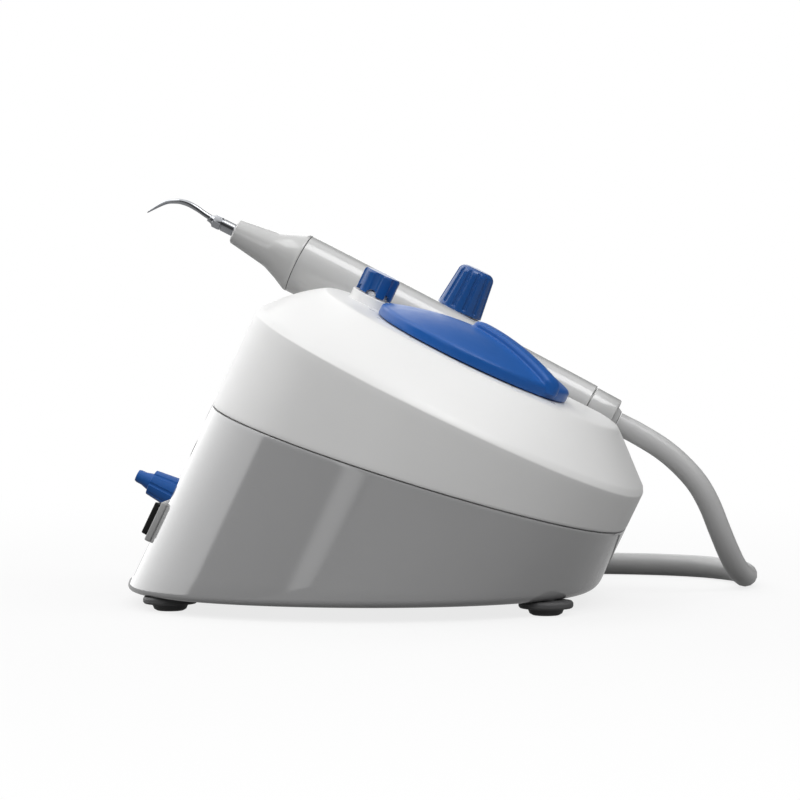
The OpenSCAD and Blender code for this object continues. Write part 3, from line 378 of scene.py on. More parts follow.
def clean_cuts(piece):
    """Merges the points and drops the slivers that cutting leaves, so that the skin stays closed"""
    near = 0.004 * mm
    only(piece)
    bpy.ops.object.mode_set(mode="EDIT")
    bpy.ops.mesh.select_all(action="SELECT")
    bpy.ops.mesh.remove_doubles(threshold=near)
    bpy.ops.mesh.dissolve_degenerate(threshold=near)
    bpy.ops.mesh.fill_holes(sides=6)
    bpy.ops.mesh.normals_make_consistent(inside=False)
    bpy.ops.object.mode_set(mode="OBJECT")


def fuse_smooth(piece, cell, rounds):
    """Melts a cut piece into one skin with softly rounded edges"""
    only(piece)
    melt = piece.modifiers.new("melt", "REMESH")
    melt.mode, melt.voxel_size = "VOXEL", cell
    bpy.ops.object.modifier_apply(modifier="melt")
    ease = piece.modifiers.new("ease", "SMOOTH")
    ease.factor, ease.iterations = 0.5, rounds
    bpy.ops.object.modifier_apply(modifier="ease")


def place(piece, matrix):
    piece.data.transform(matrix)
    piece.data.update()
    return piece


def join(name, pieces):
    nothing_selected()
    for piece in pieces:
        piece.select_set(True)
    bpy.context.view_layer.objects.active = pieces[0]
    bpy.ops.object.join()
    pieces[0].name = name
    return pieces[0]


def dress(piece, mat, body, node=None, smooth=35):
    """Gives a finished piece its material, its shading and its place in the model"""
    piece.data.materials.clear()
    piece.data.materials.append(mat)
    only(piece)
    bpy.ops.object.shade_smooth_by_angle(angle=math.radians(smooth))
    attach(piece, body)
    if node:
        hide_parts(node)


# The cord: from the handpiece down to the table, a coil behind the body, and back into the gland
cord_start = [hand_frame @ Vector((0, 0, -d * mm)) / mm for d in (1.8, 4.8, 7.8)]
cord_route = [*cord_start, (81, 33, 44.4), (87, 33, 39.5), (92.3, 33.2, 33.6), (96, 34, 27),
              (98.8, 35.6, 19.8), (101.5, 38.5, 12.8), (104, 43.4, 7), (106, 50.5, 4.1),
              (106.5, 59, 3.5), (104.5, 68, 3.5), (99.5, 76.5, 3.5), (91.5, 83.8, 3.5), (80.5, 88.8, 3.5),
              (66.5, 91.2, 3.5), (48.5, 91.7, 3.5), (30.5, 91.6, 3.5), (12.5, 91.5, 3.5), (-5.5, 91.5, 3.5)]
tail_route = [(11, 112, 25.2), (11, 105, 25), (11, 98, 24.4), (11, 94.5, 24), (11, 91.5, 24), (11, 88.5, 24)]
coil_centre = (-27.5, 130)
coil_inner, coil_outer = 31.5, 38.5
coil_slots = [(coil_outer, 3.5), (coil_inner, 3.5), (coil_inner, 10.5), (coil_outer, 10.5),
              (coil_outer, 17.5), (coil_inner, 17.5), (coil_inner, 24.5), (coil_outer, 24.5)]
coil_sweep, step_sweep = 2430, 45


def curve_between(a, b, c, d, t):
    """Smooth curve from b to c, with a before and d after"""
    return 0.5 * (2 * b + (c - a) * t + (2 * a - 5 * b + 4 * c - d) * t * t
                  + (3 * b - a - 3 * c + d) * t ** 3)


def smooth_points(points, parts):
    points = [Vector(p) for p in points]
    out = []
    for i in range(len(points) - 1):
        a, d = points[max(0, i - 1)], points[min(len(points) - 1, i + 2)]
        out += [curve_between(a, points[i], points[i + 1], d, j / parts) for j in range(parts)]
    return out + [points[-1]]


def coil_points():
    """The turns lie beside and on each other, and each step to the next place takes a short sweep"""
    share = coil_sweep / len(coil_slots)
    points = []
    for degree in range(4, coil_sweep, 4):
        slot = min(int(degree / share), len(coil_slots) - 1)
        into = (degree - (slot + 1) * share + step_sweep / 2) / step_sweep
        before = (degree - slot * share + step_sweep / 2) / step_sweep
        (r, z), t = coil_slots[slot], 0.0
        if into > 0 and slot + 1 < len(coil_slots):
            r1, z1 = coil_slots[slot + 1]
            t = into * into * (3 - 2 * into)
        elif before < 1 and slot > 0:
            r1, z1 = coil_slots[slot]
            r, z = coil_slots[slot - 1]
            t = before * before * (3 - 2 * before)
        else:
            r1, z1 = r, z
        r, z = r + (r1 - r) * t, z + (z1 - z) * t
        a = math.radians(-90 - degree)
        points.append(Vector((coil_centre[0] + r * math.cos(a), coil_centre[1] + r * math.sin(a), z)))
    return points


def make_cord():
    lead_in = smooth_points(cord_route, 4)
    steps = smooth_points([(-5.5, 91.5, 3.5), (-16.5, 91.5, 3.5), (-27.5, 91.5, 3.5)], 3)
    lead_out = smooth_points([(11, 130, 24.5), (11, 121, 24.9)] + tail_route, 3)
    line = [p * mm for p in lead_in + steps[1:] + coil_points() + lead_out]
    data = bpy.data.curves.new("free_cord", "CURVE")
    data.dimensions = "3D"
    data.bevel_depth = cord_d / 2 - 0.02 * mm
    data.bevel_resolution = 5
    data.use_fill_caps = True
    spline = data.splines.new("POLY")
    spline.points.add(len(line) - 1)
    for point, place_at in zip(spline.points, line):
        point.co = (*place_at, 1)
    cord = bpy.data.objects.new("free_cord", data)
    bpy.context.scene.collection.objects.link(cord)
    data.materials.append(cord_grey)
    length = sum((b - a).length for a, b in zip(line, line[1:]))
    print("cord length", round(length, 4))
    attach(cord, "generator")
    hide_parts("handpiece_cord", "cord_coil", "cord_tail")
    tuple(line[0])


make_cord()


# Body outline and shells, modelled square to the deck
def signed_power(x, p):
    return math.copysign(abs(x) ** p, x)


def outline(a, b, pa=end_power, pb=side_power):
    """Closed plan curve, fuller at the sides than an ellipse"""
    count = 240
    points = []
    for i in range(count):
        q = turn * i / count
        points.append((a * signed_power(math.cos(q), 2 / pa), b * signed_power(math.sin(q), 2 / pb)))
    return points


def mix(a, b, t):
    return a + (b - a) * t


def plane_height(x, z0, slope=0.0):
    """Height square to the deck of a room plane, at station x along the deck"""
    rise = z0 + slope * pivot.x - pivot.z + x * (slope * math.cos(deck_tilt) + math.sin(deck_tilt))
    return rise / (math.cos(deck_tilt) - slope * math.sin(deck_tilt))


def seam_height(x, rise=0.0):
    return plane_height(x, seam_z + rise, seam_slope)


def ring(points, height):
    """Outline lifted to a height, or to a height that depends on the station along the deck"""
    return [Vector((x, y, height(x) if callable(height) else height)) for x, y in points]


def side_ring(inset, height):
    return ring(outline(half_len - inset, half_wide - inset), height)


def bevel_outline(t, inset=0.0):
    return outline(mix(half_len, plate_len / 2, t) - inset, mix(half_wide, plate_wide / 2, t) - inset,
                   mix(end_power, plate_power, t), mix(side_power, plate_power, t))


def bevel_height(t, drop=0.0):
    """The bevel is straight in front and swells towards the rear"""
    def height(x):
        bow = bevel_bow_rear * (0.5 - x / body_len)
        return crease_h + bevel_h * t * (1 + bow * (1 - t)) - drop
    return height


def upper_outer_rings():
    lip, crease = seam_lip, crease_round
    rings = [side_ring(lip, lambda x: seam_height(x, seam_gap)),
             side_ring(lip * 0.3, lambda x: seam_height(x, seam_gap) + lip * 0.3),
             side_ring(0, lambda x: seam_height(x, seam_gap) + lip)]
    for t in (0.04, 0.25, 0.5, 0.75, 0.93):
        rings.append(side_ring(0, lambda x, t=t: mix(seam_height(x, seam_gap) + lip, crease_h - 1.4 * mm, t)))
    for degrees in (0, 15, 30, 45):
        q = math.radians(degrees)
        rise = crease_h - crease * 0.9 + crease * math.sin(q) * 0.9
        rings.append(side_ring(crease * (1 - math.cos(q)), rise))
    bevel_steps = (0.05, 0.1, 0.2, 0.32, 0.45, 0.58, 0.7, 0.81, 0.9, 0.95)
    rings += [ring(bevel_outline(t), bevel_height(t)) for t in bevel_steps]
    rings.append(ring(bevel_outline(0.985), bevel_height(0.985, 0.05 * mm)))
    for s in (0.985, 0.965, 0.94, 0.88, 0.8, 0.7, 0.6, 0.5, 0.4, 0.3, 0.2, 0.1, 0.04):
        flat = outline(plate_len / 2 * s, plate_wide / 2 * s, plate_power, plate_power)
        rings.append(ring(flat, plate_edge_h + plate_crown * (1 - s * s) - (0.12 * mm if s > 0.98 else 0)))
    return rings


def upper_inner_rings():
    """From the seam up to the underside of the deck"""
    rings = [side_ring(wall, lambda x: seam_height(x, seam_gap)), side_ring(wall, crease_h - wall / 2)]
    rings += [ring(bevel_outline(t, wall), bevel_height(t, wall)) for t in (0.3, 0.65)]
    for s in (1, 0.6, 0.2):
        flat = outline(plate_len / 2 * s - mm, plate_wide / 2 * s - mm, plate_power, plate_power)
        rings.append(ring(flat, plate_edge_h - wall))
    return rings


# Places on the rear panel and round features of the shells, in millimetres
switch_y, switch_h = -15.5, -13.8
inlet_y, inlet_h = 6, -8.2
post_r, post_low = 4, 16
pilot_r, shank_r, head_r = 1.25, 1.75, 3.3
peg_r = 2.55
gland_pad_r, gland_bore_r = 9.5, 6.1


def bar_outline(r, low, high):
    """Outline of a plain round bar, in millimetres, for what is cut away or joined on"""
    return [(0, low), (r, low), (r, high), (0, high)]


def channel(name, r, start, length):
    """Round bar along the handpiece's axis, in the deck's own frame"""
    bar = turned(name, bar_outline(r / mm, start, start + length), 160)
    return place(bar, deck_place().inverted() @ hand_frame)


def pin(name, r, low, high, x=0.0, y=0.0, count=64):
    bar = turned(name, bar_outline(r / mm, low / mm, high / mm), count)
    return place(bar, Matrix.Translation((x, y, 0)))


def make_upper_shell():
    outer = upper_outer_rings()
    shell = loft("white_cover", upper_inner_rings()[::-1] + outer, start="point", end="point")
    skirt = side_ring(0, lambda x: seam_height(x, -60 * mm))
    skin = loft("skin", [skirt] + outer[3:], start="flat", end="point")
    trough = channel("trough", trough_r, -40, 200)
    trough = combine(trough, [block("below", (-0.1, -0.1, -0.1), (0.1, 0.1, 50 * mm))], "DIFFERENCE")
    posts = [room_pin("post", bar_outline(post_r, post_low, 96), x, y) for x, y in screw_spots]
    trough = combine(trough, posts, "UNION")
    trough = combine(trough, [skin], "INTERSECT")
    shell = combine(shell, [trough], "UNION")
    shell = combine(shell, [mode_pedestal(), turned_boss()], "UNION")
    shell = combine(shell, [channel("bar", channel_r, -60, 260)], "DIFFERENCE")
    soften(shell, 0.35 * mm, 40, 2)
    low, high = crease_h / mm, plate_edge_h / mm
    bores = [pin("dial_bore", 4.7 * mm, (high - 3.5) * mm, (high + 4) * mm, dial_x, dial_y),
             pin("mode_bore", 3.4 * mm, (high - 3.5) * mm, (high + 8) * mm, mode_x, mode_y)]
    seat = turned("valve_bore", [(0, low - 0.6), (4.1, low - 0.6), (4.1, low + 8.6), (2.05, low + 8.6),
                                 (2.05, low + 40), (0, low + 40)], 48)
    bores.append(place(seat, Matrix.Translation((water_x, water_y, 0))))
    bores += [room_pin("pilot", bar_outline(pilot_r, 15, 26.1), x, y, 24) for x, y in screw_spots]
    shell = combine(shell, [join("bores", bores)], "DIFFERENCE")
    clean_cuts(shell)
    place(shell, deck_place())
    dress(shell, white_plastic, "generator", "upper_shell", 30)


def room_pin(name, shape, x, y, count=40):
    """Upright turned pin of the room, carried into the deck's own frame"""
    bar = turned(name, shape, count)
    return place(bar, deck_place().inverted() @ Matrix.Translation((x, y, 0)))


def mode_pedestal():
    """The low round boss under the mode knob, with its raised ring"""
    foot, top = plate_edge_h / mm - 1.5, mode_boss_h / mm
    r, ring_r, ring_top = mode_boss_r / mm, mode_ring_r / mm, (mode_boss_h + mode_ring_h) / mm
    shape = rounded([(0, foot), (r, foot), (r, top), (ring_r, top), (ring_r, ring_top), (0, ring_top)], 0.35)
    return place(turned("mode_boss", shape, 96), Matrix.Translation((mode_x, mode_y, 0)))


def turned_boss():
    """The tall round boss under the water knob"""
    foot, top, r = crease_h / mm + 0.4, water_boss_h / mm, water_boss_r / mm
    boss = turned("water_boss", rounded([(0, foot), (r, foot), (r, top), (0, top)], 0.7), 96)
    return place(boss, Matrix.Translation((water_x, water_y, 0)))


def lower_outer_rings():
    low_ring = []
    for degrees in (0, 15, 30, 45, 60, 75, 90):
        q = math.radians(degrees)
        inset, lift = bottom_round * (1 - math.sin(q)), bottom_round * (1 - math.cos(q))
        low_ring.append(side_ring(inset, lambda x, lift=lift: plane_height(x, ground_gap + lift)))
    lip = seam_lip
    rings = low_ring
    for t in (0.1, 0.3, 0.5, 0.7, 0.9, 0.98):
        rings.append(side_ring(0, lambda x, t=t: mix(
            plane_height(x, ground_gap + bottom_round), seam_height(x) - lip, t)))
    rings.append(side_ring(0, lambda x: seam_height(x) - lip))
    rings.append(side_ring(lip * 0.3, lambda x: seam_height(x) - lip * 0.3))
    rings.append(side_ring(lip, seam_height))
    return rings


panel_low, panel_high = -31 * mm, 17 * mm


def panel_cut(depth):
    """Block outside the flat rear panel; its upper and lower ends run out at a slope"""
    side, taper = 27 * mm, 1.5
    rings = []
    for out in (depth, 0):
        x, low, high = -panel_x - out, panel_low - taper * out, panel_high + taper * out
        corners = ((-side, low), (side, low), (side, high), (-side, high))
        rings.append([Vector((x, y, z)) for y, z in corners])
    return loft("panel", rings, start="flat", end="flat")


def rear_hole(name, y, h, wide=0.0, long=0.0, r=0.0):
    """Opening in the rear panel, round or square"""
    if r:
        cutter = turned(name, bar_outline(r, -10, 10), 48)
    else:
        corner = Vector((wide / 2, long / 2, 10)) * mm
        cutter = block(name, -corner, corner)
    return place(cutter, rear_place(y * mm, h * mm))


def make_lower_shell():
    outer = lower_outer_rings()
    floor_h = ground_gap + wall
    inner = [side_ring(wall / 2, seam_height), side_ring(wall / 2, lambda x: seam_height(x, 2.4 * mm)),
             side_ring(wall, lambda x: seam_height(x, 2.4 * mm)),
             side_ring(wall, lambda x: plane_height(x, floor_h + 2 * mm)),
             side_ring(wall + 2 * mm, lambda x: plane_height(x, floor_h))]
    shell = loft("grey_tub", outer + inner, start="flat", end="flat")
    skin = loft("skin", outer, start="flat", end="flat")
    pad = block("pad", (-panel_x - 3 * mm, -26 * mm, panel_low), (-panel_x + wall, 26 * mm, panel_high))
    pad = combine(pad, [skin], "INTERSECT")
    shell = combine(shell, [pad], "UNION")
    shell = combine(shell, [panel_cut(10 * mm)], "DIFFERENCE")
    soften(shell, 0.25 * mm, 50, 2)
    place(shell, deck_place())
    extra = [place(turned("post", bar_outline(post_r, 5.6, post_low), 40), Matrix.Translation((x, y, 0)))
             for x, y in screw_spots]
    extra.append(place(turned("gland_pad", bar_outline(gland_pad_r, -3.5, 0), 64), gland_frame))
    shell = combine(shell, [join("extra", extra)], "UNION")
    screw_way = [(0, -1), (head_r, -1), (head_r, 7.1), (shank_r, 7.1), (shank_r, 39), (0, 39)]
    cuts = [place(turned("screw_way", screw_way, 40), Matrix.Translation((x, y, 0))) for x, y in screw_spots]
    cuts += [place(turned("peg_way", bar_outline(peg_r, -1, 5.8), 40), Matrix.Translation((x, y, 0)))
             for x, y in foot_spots]
    cuts += [rear_hole("switch_way", switch_y, switch_h, 12, 17.8),
             rear_hole("mains_way", 13.5, -20, 9.8, 20.2), rear_hole("inlet_way", inlet_y, inlet_h, r=4.1),
             rear_hole("fuse_way", 1, 8, r=3.6), rear_hole("socket_way", 16, 7, r=5.6),
             place(turned("gland_way", bar_outline(gland_bore_r, -20, 20), 48), gland_frame)]
    shell = combine(shell, [join("cuts", cuts)], "DIFFERENCE")
    clean_cuts(shell)
    dress(shell, grey_plastic, "generator", "lower_shell", 30)


make_upper_shell()
make_lower_shell()


# The power dial: a shallow dome and a pointer rib of even height, melted into one skin
def dome_height(r):
    """Height of the dial's dome over its underside"""
    rim = dial_rim_h + 0.4 * mm
    return rim + (dial_top - rim) * (1 - (r / (dial_r - 1.2 * mm)) ** 2)


def rib_ring(x):
    """Cross-section of the rib: straight sides under a rounded crest"""
    end_x, half = rib_end, rib_wide / 2
    past = max(-x, x - end_x, 0)
    side = math.sqrt(max(half * half - past * past, 0.0004 * mm * mm))
    share = min(1, past / half)
    top = dome_height(max(x, 0)) + rib_high * (1 - share ** 2.6) ** 0.5
    if x > end_x:
        top = mix(2 * mm, dome_height(x) + rib_high, (1 - share ** 3.2) ** 0.5)
    foot = 1.8 * mm if x < dial_r - 1.9 * mm else mm
    crest = min(1.7 * mm, top - foot - 0.1 * mm)
    points = [Vector((x, side, foot)), Vector((x, side, mix(foot, top - crest, 0.5)))]
    for k in range(23):
        q = math.pi * k / 22
        points.append(Vector((x, side * signed_power(math.cos(q), 0.72),
                              top - crest + crest * signed_power(math.sin(q), 0.72))))
    return points + [Vector((x, -side, mix(foot, top - crest, 0.5))), Vector((x, -side, foot))]


def make_dial():
    r, rim = dial_r / mm, dial_rim_h / mm
    shape = [(0, 6.2), (3.02, 6.2), (3.02, 1.7), (r - 2.5, 1.7), (r - 2.5, -0.2), (r - 2.4, -0.34),
             (r - 0.4, -0.34), (r, 0), (r, rim - 0.8), (r - 0.1, rim - 0.4), (r - 0.4, rim - 0.05),
             (r - 0.8, rim + 0.2)]
    shape += [((r - 1.2) * k / 40, dome_height((r - 1.2) * k / 40 * mm) / mm) for k in range(40, 0, -1)]
    dome = turned("blue_dial", shape + [(0, dial_top / mm)], 240)
    half, end_x = rib_wide / 2, rib_end
    starts = [-half * math.cos(math.radians(a)) for a in range(2, 90, 8)]
    ends = [end_x + half * math.sin(math.radians(a)) for a in range(4, 89, 7)]
    rib = loft("rib", [rib_ring(x) for x in starts + [mix(0, end_x, k / 24) for k in range(25)] + ends],
               start="flat", end="flat")
    dial = join("blue_dial", [dome, rib])
    fuse_smooth(dial, 0.31 * mm, 7)
    place(dial, dial_frame @ Matrix.Rotation(-rib_angle, 4, "Z"))
    dress(dial, blue_plastic, "power_dial", "power_dial", 60)


make_dial()


# The printed scale on the plate: short marks around the dial
def plate_height(x, y):
    along, across = abs(x / (plate_len / 2)), abs(y / (plate_wide / 2))
    share = (along ** plate_power + across ** plate_power) ** (1 / plate_power)
    return plate_edge_h + plate_crown * (1 - share * share)


def make_scale():
    near, middle, half = 31.8 * mm, 32.4 * mm, 0.22 * mm
    marks = []
    for k in range(11):
        if k == 8:
            continue
        q = -rib_angle - math.radians(30 * k)
        reach = (33.5 if k % 5 == 0 else 33.0) * mm
        x, y = dial_x + middle * math.cos(q), dial_y + middle * math.sin(q)
        mark = block("mark", (near, -half, -0.1 * mm), (reach, half, 0.03 * mm), 0.02 * mm)
        marks.append(place(mark, deck_place(dial_x, dial_y, plate_height(x, y)) @ Matrix.Rotation(q, 4, "Z")))
    scale = join("printed_scale", marks)
    dress(scale, print_ink, "generator")


make_scale()


# Knobs: turned blanks with cut flutes, melted so that the edges are softly rounded
def make_mode_knob():
    r, h, bore, deep = mode_r / mm, mode_h / mm, mode_ring_r / mm + 0.35, mode_ring_h / mm
    shape = [(0, 6), (2.02, 6), (2.02, deep), (bore, deep), (bore, 0), (r, 0), (r, h - 0.9)]
    shape += [(r - 0.9 + 0.9 * math.cos(math.radians(q)), h - 0.9 + 0.9 * math.sin(math.radians(q)))
              for q in range(15, 91, 15)] + [(0, h)]
    knob = turned("fluted_knob", shape, 96)
    cutters = []
    for k in range(6):
        q = Matrix.Rotation(turn * k / 6 - math.radians(93), 4, "Z")
        groove = pin("groove", 2.3 * mm, -mm, mode_h + mm, count=40)
        cutters.append(place(groove, q @ Matrix.Translation((mode_r + 1.5 * mm, 0, 0))))
        arch = pin("arch", 1.6 * mm, 0, 6 * mm, count=40)
        cutters.append(place(arch, q @ Matrix.Translation((mode_ring_r - mm, 0, 0))
                             @ Matrix.Rotation(turn / 4, 4, "Y")))
    combine(knob, cutters, "DIFFERENCE")
    fuse_smooth(knob, 0.11 * mm, 4)
    place(knob, mode_frame @ Matrix.Translation((0, 0, mode_boss_h + 0.3 * mm)))
    dress(knob, knob_blue, "mode_knob", "mode_knob", 60)


def make_water_knob():
    r, top, h = water_r / mm, water_top_r / mm, water_h / mm
    edge = 2.4
    arc = [math.radians(q) for q in range(0, 91, 9)]
    shape = [(0, 0), (r, 0)] + [(top - edge + edge * math.cos(q), h - edge + edge * math.sin(q)) for q in arc]
    knob = turned("grooved_knob", shape + [(0, h)], 120)
    lean = math.atan((r - top) / (h - edge))
    cutters = []
    for k in range(12):
        q = turn * (k + 0.5) / 12
        groove = pin("groove", 0.75 * mm, 0, 18 * mm, count=24)
        cutters.append(place(groove, Matrix.Rotation(q, 4, "Z")
                             @ Matrix.Translation((water_r + 0.05 * mm, 0, mm))
                             @ Matrix.Rotation(-lean, 4, "Y")))
    combine(knob, cutters, "DIFFERENCE")
    fuse_smooth(knob, 0.14 * mm, 5)
    place(knob, water_frame @ Matrix.Translation((0, 0, water_boss_h + 0.4 * mm)))
    dress(knob, knob_blue, "water_knob", "water_knob", 60)


make_mode_knob()
make_water_knob()


# Handpiece: turned shells along its own axis, from the collar's end to the tip
collar_len, ring_at, seal_t = 8.4, hand_len / mm - 22.7, 0.6
neck_at, neck_r, nose_r = hand_len / mm - 12.6, 5.7, 3.9
tube_wall = 1.3


def handpiece_radius(z):
    away = max(0, 1 - (z - collar_len) / (ring_at - collar_len))
    return 7.4 + 1.9 * (1 - away ** 1.4)


def make_handpiece_tube():
    stations = [mix(collar_len + 0.2, ring_at, k / 40) for k in range(41)]
    outer = [(handpiece_radius(z), z) for z in stations]
    outer[0] = (outer[0][0] - 0.15, outer[0][1])
    outer.insert(1, (handpiece_radius(stations[0]), stations[0] + 0.2))
    outer[-1] = (outer[-1][0] - 0.1, outer[-1][1] + 0.2)
    outer.insert(-1, (handpiece_radius(ring_at), ring_at + 0.08))
    inner = [(handpiece_radius(z) - tube_wall, z) for z in stations[::8]][::-1]
    tube = turned("handpiece_tube", outer + inner, 128)
    place(tube, hand_frame)
    dress(tube, handpiece_white, "handpiece", "handpiece_body", 25)


def make_nose_cone():
    start = ring_at + seal_t
    outline_points = [(7.55, start - 0.2), (9.25, start - 0.2), (9.38, start - 0.05), (9.4, start + 0.3),
                      (9.3, start + 0.9)]
    outline_points += [(mix(9.4, neck_r, 0.55), start + 4.9), (neck_r + 0.12, neck_at - 0.7),
                       (neck_r - 0.18, neck_at + 0.7), (nose_r, hand_len / mm - 0.4),
                       (nose_r - 0.4, hand_len / mm), (2.6, hand_len / mm), (2.6, hand_len / mm - 3),
                       (neck_r - tube_wall, neck_at), (6.6, start), (6.6, ring_at - 4), (7.55, ring_at - 4)]
    cone = turned("nose_cone_shell", outline_points, 128)
    place(cone, hand_frame)
    dress(cone, handpiece_white, "handpiece", "nose_cone", 25)


def make_collar():
    shape = [(4.52, 0), (6.3, 0), (6.6, 0.12), (6.75, 0.45), (7.0, collar_len - 0.3), (6.85, collar_len),
             (6.05, collar_len), (6.05, collar_len + 5.5), (4.52, collar_len + 5.5)]
    collar = turned("rear_collar", shape, 128)
    place(collar, hand_frame)
    dress(collar, handpiece_white, "handpiece", "handpiece_collar", 25)


make_handpiece_tube()
make_nose_cone()
make_collar()


# The tip: a turned base with a six-sided collar, and a curved blade
def hex_ring(z, r, corner=0.0):
    """Ring of radius r, or a hexagon whose corners are trimmed to that radius"""
    count = 48
    points = []
    for k in range(count):
        q = turn * k / count
        flat = (q + turn / 12) % (turn / 6) - turn / 12
        reach = min(r, corner * math.cos(turn / 12) / math.cos(flat)) if corner else r
        points.append(Vector((reach * math.cos(q), reach * math.sin(q), z)) * mm)
    return points


def blade_ring(here, before, after, r, forward):
    """Section of the blade square to its path: flat below near the base, slimmer towards the point"""
    along = (after - before).normalized()
    side = Vector((0, 1, 0))
    up = side.cross(along)
    flat = mix(0.5, 1, min(1, max(0, (forward - 12) / 6)))
    slim = mix(1, 0.78, min(1, max(0, (forward - 15) / 10)))
    count = 32
    points = []
    for k in range(count):
        q = turn * k / count
        across, height = r * slim * math.sin(q), r * math.cos(q)
        points.append((here + side * across + up * max(-height if up.x < 0 else height, -flat * r)) * mm)
    return points


def make_tip():
    length = hand_len / mm
    stations = [(0.3, 1.8), (0.45, 1.95), (4.2, 1.95), (4.35, 1.8), (4.7, 1.8)]
    rings = [hex_ring(length + z, r) for z, r in stations]
    for z, r in ((4.82, 2.02), (5.1, 2.3), (7, 2.3), (7.3, 2.02)):
        rings.append(hex_ring(length + z, r, 2.3))
    rings += [hex_ring(length + z, r) for z, r in ((7.42, 1.7), (8.0, 1.32), (8.7, 1.14), (9.2, 1.1))]
    base = loft("tip_base", rings, start="flat", end="flat")
    spine = [(8.3, 0, 1.15), (11, 0.3, 1.08), (14, 0.8, 1.03), (16.6, 1, 0.95), (18.8, 0.7, 0.85),
             (20.8, -0.1, 0.74), (23, -1.5, 0.62), (25, -3.9, 0.46), (27.2, -7.2, 0.18)]
    path = smooth_points([(x, 0, length + z) for z, x, r in spine], 6)
    radii = smooth_points([(r, 0, 0) for z, x, r in spine], 6)
    rings = [blade_ring(p, path[max(0, i - 1)], path[min(len(path) - 1, i + 1)], max(0.12, radii[i].x),
                        p.z - length) for i, p in enumerate(path)]
    blade = loft("blade", rings, start="flat", end="point")
    tip = join("hooked_tip", [base, blade])
    place(tip, hand_frame)
    dress(tip, tip_chrome, "handpiece", "scaler_tip", 32)


make_tip()


# Feet and the parts of the rear panel that the photograph shows
def make_feet():
    shape = rounded([(0, 0), (3.8, 0), (4.7, 0.5), (5.3, 1.85), (7.5, 2.05), (7.9, 2.55), (7.9, 3.5),
                     (7.5, 4.1), (2.5, 4.1), (2.5, 5.7), (0, 5.7)], 0.3, 3)
    feet = join("soft_feet", [place(turned("foot", shape, 72), Matrix.Translation((x, y, 0)))
                              for x, y in foot_spots])
    dress(feet, foot_rubber, "generator", "rubber_feet", 40)


def make_inlet():
    shape = [(0, -11), (2, -11), (2, -5), (4, -5), (4, 0), (5.6, 0), (5.6, 1.6), (5.4, 1.85), (5, 2),
             (3.9, 11.4), (3.75, 11.5), (2.75, 11.5), (2.05, 14), (2, 15.6), (1.75, 16.3), (1, 16.3),
             (1, 7.3), (0, 7.3)]
    inlet = turned("hose_inlet", shape, 96)
    lean = math.atan(1.1 / 9.5)
    cutters = []
    for k in range(8):
        groove = pin("groove", 0.8 * mm, 0, 16.3 * mm, count=24)
        cutters.append(place(groove, Matrix.Rotation(turn * k / 8, 4, "Z")
                             @ Matrix.Translation((5.5 * mm, 0, 2 * mm))
                             @ Matrix.Rotation(-lean, 4, "Y")))
    clean_cuts(combine(inlet, cutters, "DIFFERENCE"))
    place(inlet, rear_place(inlet_y * mm, inlet_h * mm))
    dress(inlet, blue_plastic, "generator", "water_inlet", 25)


def make_rocker():
    """A shallow V of two faces over a round belly, on two short pins"""
    belly_r = 8
    arc = [math.radians(q) for q in (14.5, 8, 0, -7, -14)]
    profile = [(belly_r * math.cos(q), belly_r * math.sin(q)) for q in arc]
    shape = profile + [(-y, z) for y, z in reversed(profile)] + [(-7.55, 2.6), (0, 1.6), (7.55, 2.6)]
    rings = [[Vector((x, y, z)) * mm for y, z in shape] for x in (-5, 5)]
    rocker = soften(loft("rocker", rings, start="flat", end="flat"), 0.3 * mm, 25)
    pins = place(turned("pins", bar_outline(0.7, -5.8, 5.8), 24), Matrix.Rotation(turn / 4, 4, "Y"))
    rocker = join("rocker", [rocker, pins])
    place(rocker, rear_place(switch_y * mm, switch_h * mm) @ Matrix.Translation((0, 0, 0.3 * mm))
          @ Matrix.Rotation(math.radians(-8), 4, "X"))
    dress(rocker, rocker_black, "power_rocker", "power_rocker", 30)


def make_bezel():
    frame_piece = block("bezel", (-6.25 * mm, -9.5 * mm, 0), (6.25 * mm, 9.5 * mm, 1.9 * mm), 0.5 * mm)
    body = block("body", (-5.9 * mm, -8.8 * mm, -12 * mm), (5.9 * mm, 8.8 * mm, 0.5 * mm), 0.3 * mm)
    well = block("well", (-5.3 * mm, -8.3 * mm, -4.5 * mm), (5.3 * mm, 8.3 * mm, 5.5 * mm))
    axle = place(turned("axle", bar_outline(0.75, -6.2, 6.2), 24),
                 Matrix.Translation((0, 0, 0.3 * mm)) @ Matrix.Rotation(turn / 4, 4, "Y"))
    combine(frame_piece, [body], "UNION")
    combine(frame_piece, [well, axle], "DIFFERENCE")
    place(frame_piece, rear_place(switch_y * mm, switch_h * mm))
    dress(frame_piece, bezel_grey, "generator", "switch_bezel", 30)


make_feet()
make_inlet()
make_rocker()
make_bezel()

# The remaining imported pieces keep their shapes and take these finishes
node_finishes = {
    steel: ("case_screws", "dial_shaft", "power_control", "control_nut", "mode_shaft", "valve_spindle",
            "inlet_nut", "board_spacers", "board_screws", "transformer_clamp", "footswitch_socket",
            "transducer_horn", "back_mass"),
    black_plastic: ("mode_switch", "solenoid_valve", "board_parts", "mains_inlet", "fuse_holder",
                    "cord_gland"),
    board_green: ("control_board", "generator_board"), seal_rubber: ("nose_seal", "cord_tie"),
    brass: ("water_valve",), hose_plastic: ("water_hoses",), dark_metal: ("heat_sink",),
    winding: ("transformer",), ceramic: ("piezo_rings",), cord_grey: ("cord_relief",)}
for mat, nodes in node_finishes.items():
    for node in nodes:
        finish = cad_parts[node].data.materials
        finish.clear()
        finish.append(mat)


